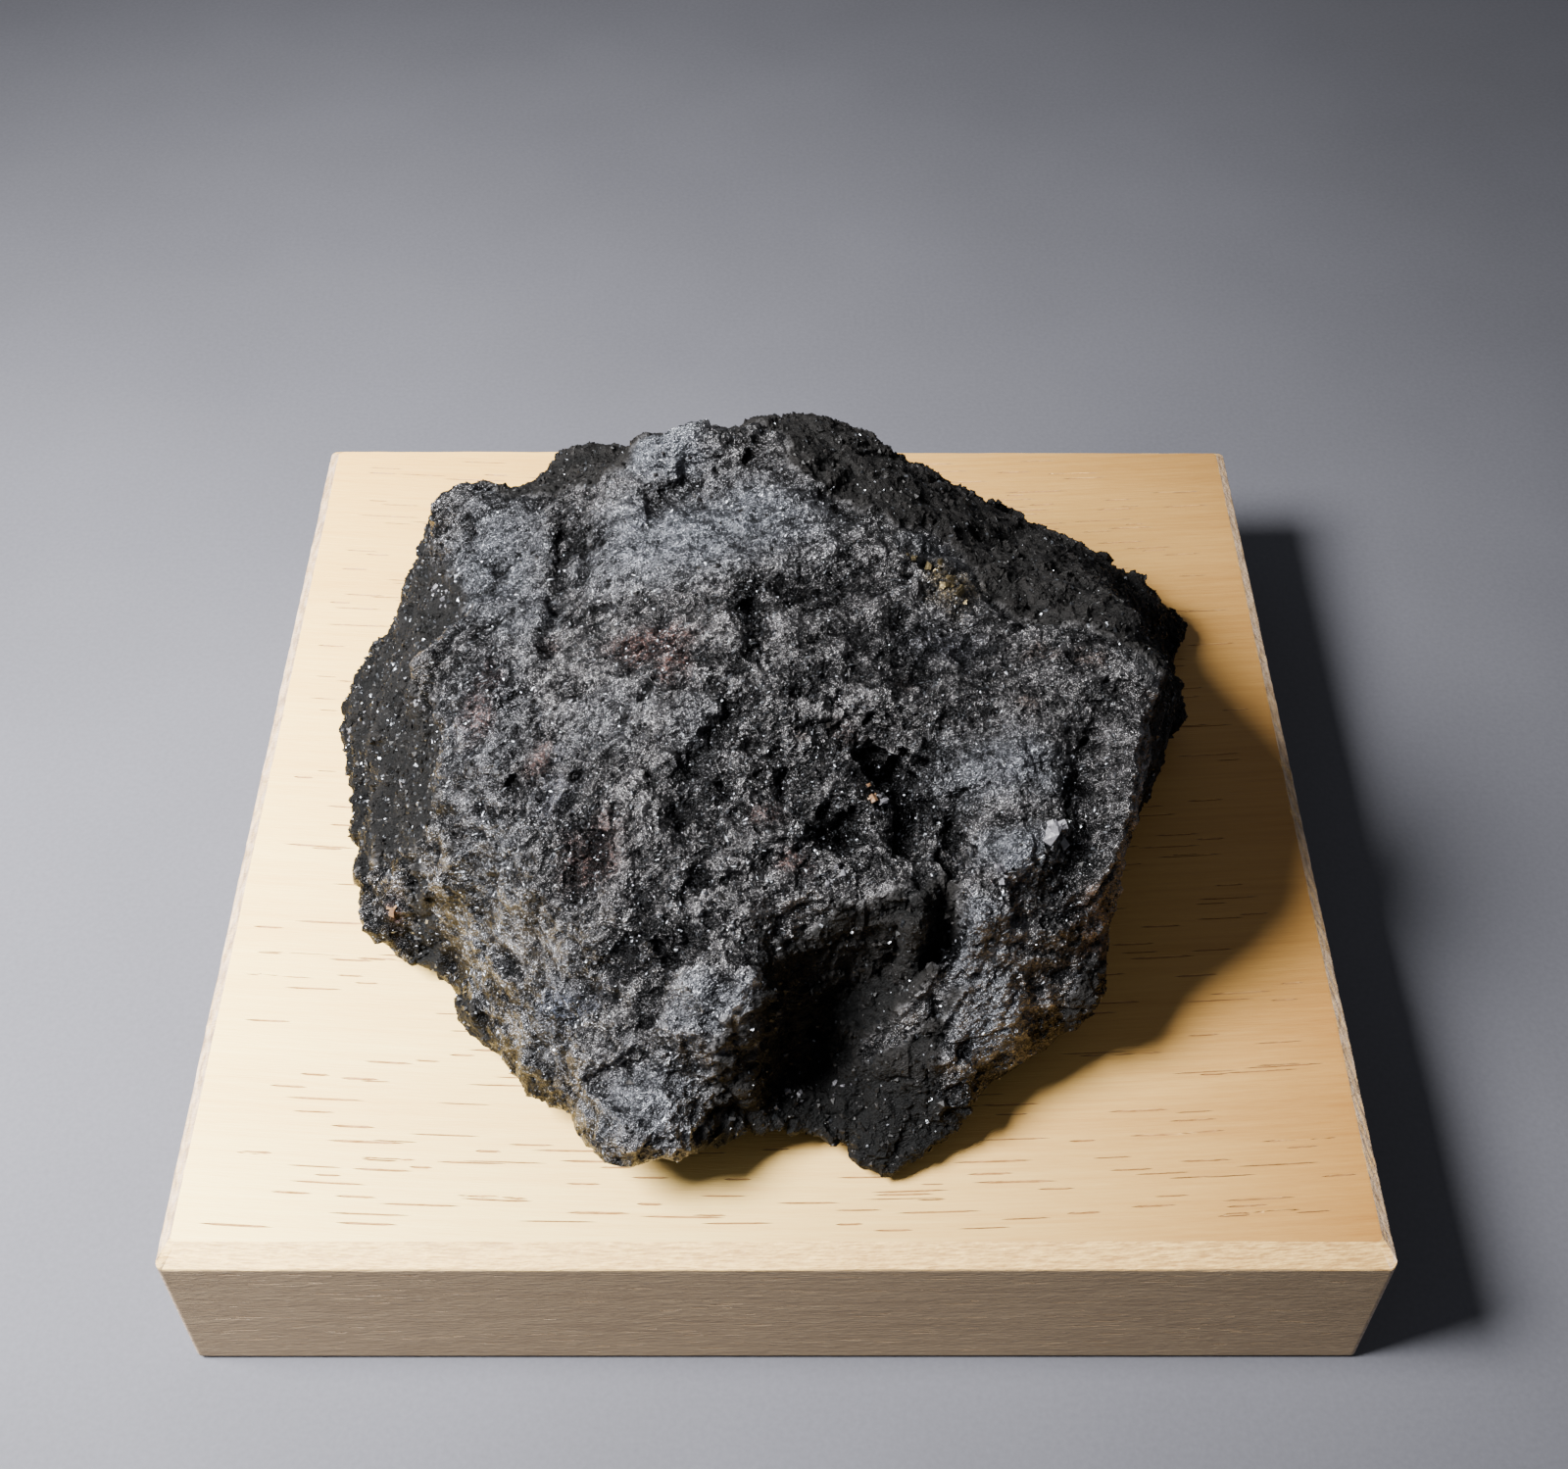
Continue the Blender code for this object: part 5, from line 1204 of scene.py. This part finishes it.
def wood_material():
    """Pale wood whose grain runs left to right and bends a little; sides and ends are darker."""
    material, tree, shader = new_material("pale wood")
    where = put(tree, "ShaderNodeTexCoord").outputs["Object"]
    x, y, z = split_up(tree, where)
    bend = product(tree, product(tree, x, x), GRAIN_BEND / MM / 2.0)
    lie = put(tree, "ShaderNodeCombineXYZ", {0: x, 1: maths(tree, "SUBTRACT", y, bend), 2: z})

    def grain(sizes, detail, rough):
        return noise_at(tree, scaled(tree, lie.outputs[0], sizes, MM), detail, rough)

    bands = grain(BANDS, 3.0, 0.5)
    streaks = grain(STREAKS, 3.0, 0.6)
    fibre = grain(FIBRE, 3.0, 0.65)
    flecks = grain(FLECKS, 2.0, 0.6)
    sideways, _, up = split_up(tree, put(tree, "ShaderNodeNewGeometry").outputs["True Normal"])
    wall = BLOCK_THICKNESS - WALL_DROP
    below = stretch(tree, z, wall * MM, (wall - 0.2) * MM)
    side = maths(tree, "MAXIMUM", stretch(tree, up, 0.65, 0.35), below)
    end = stretch(tree, maths(tree, "ABSOLUTE", sideways), 0.25, 0.45)
    cut = product(tree, stretch(tree, up, 0.995, 0.975), stretch(tree, up, 0.35, 0.65))
    cut = product(tree, cut, mixed(tree, (1.0, 1.0), (below, -1.0)))
    share = stretch(tree, mixed(tree, (bands, 0.40), (streaks, 0.40), (fibre, 0.20)), 0.34, 0.66)
    half = BLOCK_WIDTH * MM * 0.5
    across = stretch(tree, x, -half, half)
    deep = stretch(tree, y, -half, half)
    # painted light: the top runs from pale at the front left, towards the lamp, to dark at the back
    # right
    low, high = (blend_colours(tree, across, *(blend_colours(tree, deep, *ends) for ends in edges))
                 for edges in (TOP_LOW_PAINTED_LIGHT, TOP_HIGH_PAINTED_LIGHT))
    colour = blend_colours(tree, share, low, high)
    brown = blend_colours(tree, stretch(tree, mixed(tree, (streaks, 0.5), (fibre, 0.5)), 0.36, 0.64),
                          SAWN_LOW, SAWN_HIGH)
    brown = blend_colours(tree, stretch(tree, flecks, 0.62, 0.86), brown, SAWN_FLECK)
    colour = blend_colours(tree, side, colour, brown)
    torn = blend_colours(tree, stretch(tree, mixed(tree, (fibre, 0.6), (flecks, 0.4)), 0.40, 0.60),
                         TORN_LOW, TORN_HIGH)
    colour = blend_colours(tree, product(tree, cut, 0.75), colour, torn)
    rows = noise_at(tree, place_of(tree, END_ROWS), 3.0)
    grey = blend_colours(tree, stretch(tree, rows, 0.35, 0.65), END_LOW, END_HIGH)
    colour = blend_colours(tree, product(tree, end, 0.9), colour, grey)
    pore = stretch(tree, stored(tree, "pore"), 0.02, 0.35)
    sunk = product(tree, pore, mixed(tree, (1.0, 0.72), (below, -0.30)))
    colour = blend_colours(tree, sunk, colour, PORE_BROWN)
    height = mixed(tree, (fibre, 1.0), (product(tree, flecks, cut), 2.5),
                   (product(tree, flecks, side), 1.6))
    feed(tree, shader, {"Base Color": colour, "Normal": bumped(tree, height, 0.09, 0.6),
                        "Roughness": stretch(tree, fibre, 0.3, 0.7, 0.50, 0.66)})
    return material


def floor_material():
    material, tree, shader = new_material("pale floor")
    speck = noise_at(tree, place_of(tree, 0.5), 3.0)
    cloud = noise_at(tree, place_of(tree, 40.0), 2.0)
    share = mixed(tree, (speck, 0.5), (cloud, 0.5))
    feed(tree, shader, {"Base Color": blend_colours(tree, share, FLOOR_DARK, FLOOR_LIGHT),
                        "Roughness": 0.8})
    return material


# ---- wooden block ----------------------------------------------------------
EDGE_STEPS = 110          # samples along each straight edge of the block
CORNER_STEPS = 6
FOOT_LEVELS = [(0.50, 0.0), (0.34, 0.06), (0.14, 0.20), (0.02, 0.42), (0.0, 0.62)]
# Levels of the chamfer: share of its run, share of its drop, soft part of the lower arris
CHAMFER_LEVELS = [
    (0.0, 1.0, 0.25), (0.01, 0.98, 0.12), (0.04, 0.95, 0.03), (0.12, 0.88, 0.0), (0.31, 0.69, 0.0),
    (0.50, 0.50, 0.0), (0.69, 0.31, 0.0), (0.88, 0.11, 0.0), (0.97, 0.02, 0.0), (1.12, 0.0, 0.0)]
PANEL_LEVEL = 4           # the side panels reach from this level to the next
TOP_PORES = 700
SIDE_PORES = 200
END_PORES = 650
GRAIN_BEND = 0.0016       # the grain of the top curves: slope for each mm from the middle
TOP_SINK, SIDE_SINK = 0.12, 0.10   # depth of the pores
PORE_MARGIN = 0.4         # pores keep this far from the top and bottom of a side
TOP_PORE_REACH = 48.2     # pores keep within this of the middle
TOP_PORE_ROWS = (-47.0, 48.8)
SIDE_PORE_REACH = 47.8


def turned(x, y, turn):
    return (x * math.cos(turn) - y * math.sin(turn), x * math.sin(turn) + y * math.cos(turn))


def block_loop(insets, heights):
    """One loop round the block; insets and heights are for the right, back, left and front."""
    radius = BLOCK_CORNER_ROUND
    reach = [BLOCK_WIDTH / 2 - inset - radius for inset in insets]
    loop = []
    for quarter in range(4):
        before, after = (quarter + 3) % 4, (quarter + 1) % 4
        side = []
        for i in range(EDGE_STEPS + 1):
            along = -reach[before] + (reach[before] + reach[after]) * i / EDGE_STEPS
            side.append((reach[quarter] + radius, along, heights[quarter]))
        for i in range(1, CORNER_STEPS):
            share = i / CORNER_STEPS
            side.append((reach[quarter] + radius * math.cos(share * math.pi / 2),
                         reach[after] + radius * math.sin(share * math.pi / 2),
                         heights[quarter] + (heights[after] - heights[quarter]) * share))
        turn = quarter * math.pi / 2
        loop += [(*turned(x, y, turn), z) for x, y, z in side]
    return np.array(loop)


def long_pore(x, y, length, width, lean):
    """A pore cut along the grain: outline points, then the points of its floor."""
    half, side = length / 2, width / 2
    rim = [(-half, 0.0), (-half * 0.55, -side), (half * 0.5, -side * 0.9), (half, 0.0),
           (half * 0.6, side), (-half * 0.5, side * 0.9)]
    floor = [(-half * 0.8, 0.0), (half * 0.8, 0.0)]
    return ([(x + a, y + b + a * lean) for a, b in rim],
            [(x + a, y + b + a * lean) for a, b in floor])


def round_pore(x, y, length, width):
    """A pore cut across the grain."""
    rim = [(x + length * math.cos(k * math.pi / 3), y + width * math.sin(k * math.pi / 3))
           for k in range(6)]
    return rim, [(x, y)]


def panel(shape, corners, loop, to_space, pores, depth):
    """Fill a flat region bounded by existing vertices, with sunk pores.

    loop: [(vertex, u, v)]; to_space(u, v, sink) gives the place in space (mm).
    """
    flat = [Vector((u, v)) for _, u, v in loop]
    count = len(flat)
    edges = [(i, (i + 1) % count) for i in range(count)]
    sunk = set()
    for rim, floor in pores:
        start = len(flat)
        flat += [Vector(p) for p in rim]
        edges += [(start + i, start + (i + 1) % len(rim)) for i in range(len(rim))]
        start = len(flat)
        flat += [Vector(p) for p in floor]
        edges += [(start + i, start + i + 1) for i in range(len(floor) - 1)]
        sunk |= set(range(start, start + len(floor)))
    verts, _, faces, origin, _, _ = geometry.delaunay_2d_cdt(flat, edges, [], 0, 1e-5, True)
    place = []
    for index, spot in enumerate(verts):
        source = origin[index]
        outer = [s for s in source if s < count]
        if outer:
            place.append(loop[outer[0]][0])
            continue
        deep = any(s in sunk for s in source)
        vertex = shape.verts.new(Vector(to_space(spot.x, spot.y, depth if deep else 0.0)) * MM)
        corners.append((vertex, 1.0 if deep else 0.0))
        place.append(vertex)
    for face in faces:
        ring = [place[i] for i in face]
        if len(set(ring)) == 3:
            try:
                shape.faces.new(ring)
            except ValueError:
                pass


def top_pores(dice):
    pores = []
    for _ in range(TOP_PORES):
        length = 2.0 + 5.5 * dice.random() ** 1.3
        x = dice.uniform(-TOP_PORE_REACH + length / 2, TOP_PORE_REACH - length / 2)
        y = dice.uniform(*TOP_PORE_ROWS)
        lean = GRAIN_BEND * x + dice.normal(0.0, 0.008)
        pores.append(long_pore(x, y, length, dice.uniform(0.12, 0.27), lean))
    return pores


def side_pores(dice, ends, low, high):
    """Pores of one side: round where the grain ends there, otherwise long."""
    pores = []
    for _ in range(END_PORES if ends else SIDE_PORES):
        v = dice.uniform(low, high)
        if ends:
            u = dice.uniform(-SIDE_PORE_REACH, SIDE_PORE_REACH)
            pores.append(round_pore(u, v, dice.uniform(0.10, 0.20), dice.uniform(0.08, 0.15)))
        else:
            length = dice.uniform(0.8, 3.6)
            u = dice.uniform(-SIDE_PORE_REACH + length / 2, SIDE_PORE_REACH - length / 2)
            pores.append(long_pore(u, v, length, dice.uniform(0.07, 0.16), 0.0))
    return pores


def build_block():
    dice = np.random.default_rng(SEED)
    shape = bmesh.new()
    marks = []
    levels = [([inset] * 4, [z] * 4) for inset, z in FOOT_LEVELS]
    for run_share, drop_share, soft in CHAMFER_LEVELS:
        levels.append(([run * run_share for run, _ in CHAMFERS],
                       [BLOCK_THICKNESS - drop * drop_share - soft for _, drop in CHAMFERS]))
    loops = []
    for number, (insets, heights) in enumerate(levels):
        spots = block_loop(insets, heights)
        if PANEL_LEVEL + 1 < number < len(levels) - 1:
            torn = ripple(spots / (2.6, 1.0, 1.0), 1.0, SEED + 40)
            worn = ripple(spots, 9.0, SEED + 41) * 0.05 + torn * 0.045
            outward = spots[:, :2] / np.linalg.norm(spots[:, :2], axis=1)[:, None]
            spots[:, :2] += outward * worn[:, None]
            spots[:, 2] += torn * 0.02
        loop = []
        for x, y, z in spots:
            vertex = shape.verts.new(Vector((x, y, min(z, BLOCK_THICKNESS))) * MM)
            marks.append((vertex, 0.0))
            loop.append(vertex)
        loops.append(loop)
    count = len(loops[0])
    side_run = EDGE_STEPS + 1
    per_side = count // 4
    for number in range(len(levels) - 1):
        low, high = loops[number], loops[number + 1]
        for i in range(count):
            along = i % per_side
            if number == PANEL_LEVEL and along < side_run - 1:
                continue
            j = (i + 1) % count
            shape.faces.new((low[i], low[j], high[j], high[i]))
    shape.faces.new(loops[0][::-1])

    top = [(v, v.co.x / MM, v.co.y / MM) for v in loops[-1]]
    panel(shape, marks, top, lambda u, v, sink: (u, v, BLOCK_THICKNESS - sink), top_pores(dice),
          TOP_SINK)
    for quarter in range(4):
        turn = quarter * math.pi / 2
        start = quarter * per_side
        run = list(range(start, start + side_run))
        low = [loops[PANEL_LEVEL][i] for i in run]
        high = [loops[PANEL_LEVEL + 1][i] for i in run][::-1]
        loop = []
        for v in low + high:
            _, u = turned(v.co.x / MM, v.co.y / MM, -turn)
            loop.append((v, u, v.co.z / MM))
        pores = side_pores(dice, quarter in (0, 2), FOOT_LEVELS[-1][1] + PORE_MARGIN,
                           levels[PANEL_LEVEL + 1][1][quarter] - PORE_MARGIN)

        def to_space(u, v, sink, turn=turn):
            return (*turned(BLOCK_WIDTH / 2 - sink, u, turn), v)

        panel(shape, marks, loop, to_space, pores, SIDE_SINK)
    bmesh.ops.recalc_face_normals(shape, faces=shape.faces)
    bmesh.ops.triangulate(shape, faces=[f for f in shape.faces if len(f.verts) > 4])
    shape.verts.index_update()
    values = np.zeros(len(shape.verts))
    for vertex, value in marks:
        values[vertex.index] = value
    mesh = bpy.data.meshes.new("wood_block")
    shape.to_mesh(mesh)
    shape.free()
    keep_values(mesh, "pore", values)
    return new_object("wood_block", mesh)


# ---- stage, lights and camera ----------------------------------------------
KEY_PLACE = (-0.166, -0.067, 0.232)
KEY_AIM = (-0.070, 0.004, 0.0)
KEY_SIZE = 0.115
KEY_SPREAD = 86.0         # degrees over which the lamp's hood lets its light out
KEY_POWER = 1.56
FILL_COLOUR = (0.52, 0.54, 0.58)
FILL_STRENGTH = 0.35
FLOOR_DARK = (0.058, 0.058, 0.068)
FLOOR_LIGHT = (0.108, 0.108, 0.126)
# Looks of the small grains: dark and light colour, roughness, metallic.
BRIGHT = ((0.010, 0.010, 0.012), (0.26, 0.27, 0.29), 0.32, 0.9)
DUSKY = ((0.0014, 0.0013, 0.0013), (0.014, 0.0125, 0.0118), 0.5, 0.20)
GLASSY = ((0.035, 0.034, 0.038), (0.16, 0.155, 0.17), 0.38, 0.0)
BRASSY = ((0.015, 0.012, 0.007), (0.20, 0.155, 0.078), 0.38, 0.85)
EARTHY = ((0.06, 0.028, 0.012), (0.18, 0.095, 0.04), 0.6, 0.0)
FLOOR_REACH = 1500.0
FLOOR_DROP = 0.05         # below the block's underside
CAMERA_PLACE = (-0.031, -128.304, 167.290)
CAMERA_DOWN = 48.981      # degrees below level
CAMERA_TURN = -0.5057     # degrees turned from straight ahead
CAMERA_ROLL = 0.4459
SENSOR_WIDTH = 36.0
CAMERA_LENS = 47.205      # mm
CAMERA_SHIFT = (-0.00341, 0.02326)


def build_stage():
    corners = [(x * FLOOR_REACH, y * FLOOR_REACH, -FLOOR_DROP)
               for x, y in ((-1, -1), (1, -1), (1, 1), (-1, 1))]
    floor = add_object("floor", corners, [(0, 1, 2, 3)])
    floor.data.materials.append(floor_material())


def build_lights():
    lamp = bpy.data.lights.new("key", "AREA")
    lamp.shape = "DISK"
    lamp.size = KEY_SIZE
    lamp.energy = KEY_POWER
    lamp.spread = math.radians(KEY_SPREAD)
    key = new_object("key", lamp)
    key.location = KEY_PLACE
    key.rotation_euler = (Vector(KEY_AIM) - Vector(KEY_PLACE)).to_track_quat("-Z", "Y").to_euler()
    world = bpy.data.worlds.new("soft fill")
    bpy.context.scene.world = world
    world.use_nodes = True
    background = world.node_tree.nodes["Background"]
    background.inputs["Color"].default_value = (*FILL_COLOUR, 1.0)
    background.inputs["Strength"].default_value = FILL_STRENGTH


def build_camera():
    lens = bpy.data.cameras.new("camera")
    camera = new_object("camera", lens)
    bpy.context.scene.camera = camera
    down, turn, roll = (math.radians(a) for a in (CAMERA_DOWN, CAMERA_TURN, CAMERA_ROLL))
    camera.matrix_world = (Matrix.Translation(Vector(CAMERA_PLACE) * MM)
                           @ Matrix.Rotation(turn, 4, "Z")
                           @ Matrix.Rotation(math.pi / 2 - down, 4, "X")
                           @ Matrix.Rotation(roll, 4, "Z"))
    lens.sensor_fit = "HORIZONTAL"
    lens.sensor_width = SENSOR_WIDTH
    lens.lens = CAMERA_LENS
    lens.shift_x, lens.shift_y = CAMERA_SHIFT
    lens.clip_start = 0.001


def add_piece(piece, material):
    piece.data.materials.append(material)
    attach(piece, "root")


build_stage()
build_lights()
build_camera()
block = build_block()
add_piece(block, wood_material())
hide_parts("stand")
rock = plain_rock()
roughen(rock)
mark(rock)
add_piece(rock, rock_material())
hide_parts("specimen")

bright = crystal_material("bright crystals", *BRIGHT)
dusky = crystal_material("dusky grains", *DUSKY)


def crystal_weight(what, place, normal):
    share = 0.35 + 0.9 * what["pitted"] + 0.2 * what["silver_and_sheen"]
    return what["crust"] * share * (normal[:, 2] > -0.3)


def blade_weight(what, place, normal):
    return what["crust"] * (0.35 + what["silver_and_sheen"]) * (normal[:, 2] > 0.1)


def grain_weight(what, place, normal):
    return (1.05 - what["crust"]) * (0.25 + (normal[:, 2] > -0.1)) * (place[:, 2] > 1.0)


def spark_weight(what, place, normal):
    left = 1.0 + 3.0 * (place[:, 0] < -26.0)
    return (1.02 - what["crust"]) * (normal[:, 2] > -0.3) * (place[:, 2] > 1.5) * left


# Name, weight, count, corners, faces, (smallest, largest, width share, height share), tilt,
# whether it follows the lie of the blades, seed, material.
SCATTERED = [("plagionite_crystals", crystal_weight, 8000, TABLET, TABLET_FACES,
              (0.10, 0.36, 0.8, 0.6), 0.45, False, 21, bright),
             ("plagionite_blades", blade_weight, 7000, BLADE, BLADE_FACES,
              (0.25, 0.85, 0.2, 0.14), 0.16, True, 22, bright),
             ("matrix_grains", grain_weight, 16000, GRAIN, GRAIN_FACES,
              (0.22, 0.80, 0.9, 0.8), 0.5, False, 23, dusky),
             ("matrix_sparks", spark_weight, 4200, TABLET, TABLET_FACES,
              (0.14, 0.55, 0.8, 0.6), 0.6, False, 24, bright)]
for name, *how, material in SCATTERED:
    add_piece(scatter(name, rock, *how), material)
for name, spots, look, seed in (("quartz", QUARTZ, GLASSY, 31), ("pyrite", PYRITE, BRASSY, 32),
                                ("ochre", OCHRE, EARTHY, 33)):
    grains = clumps(f"{name}_grains", rock, spots, seed)
    add_piece(grains, grain_material(name, *look))
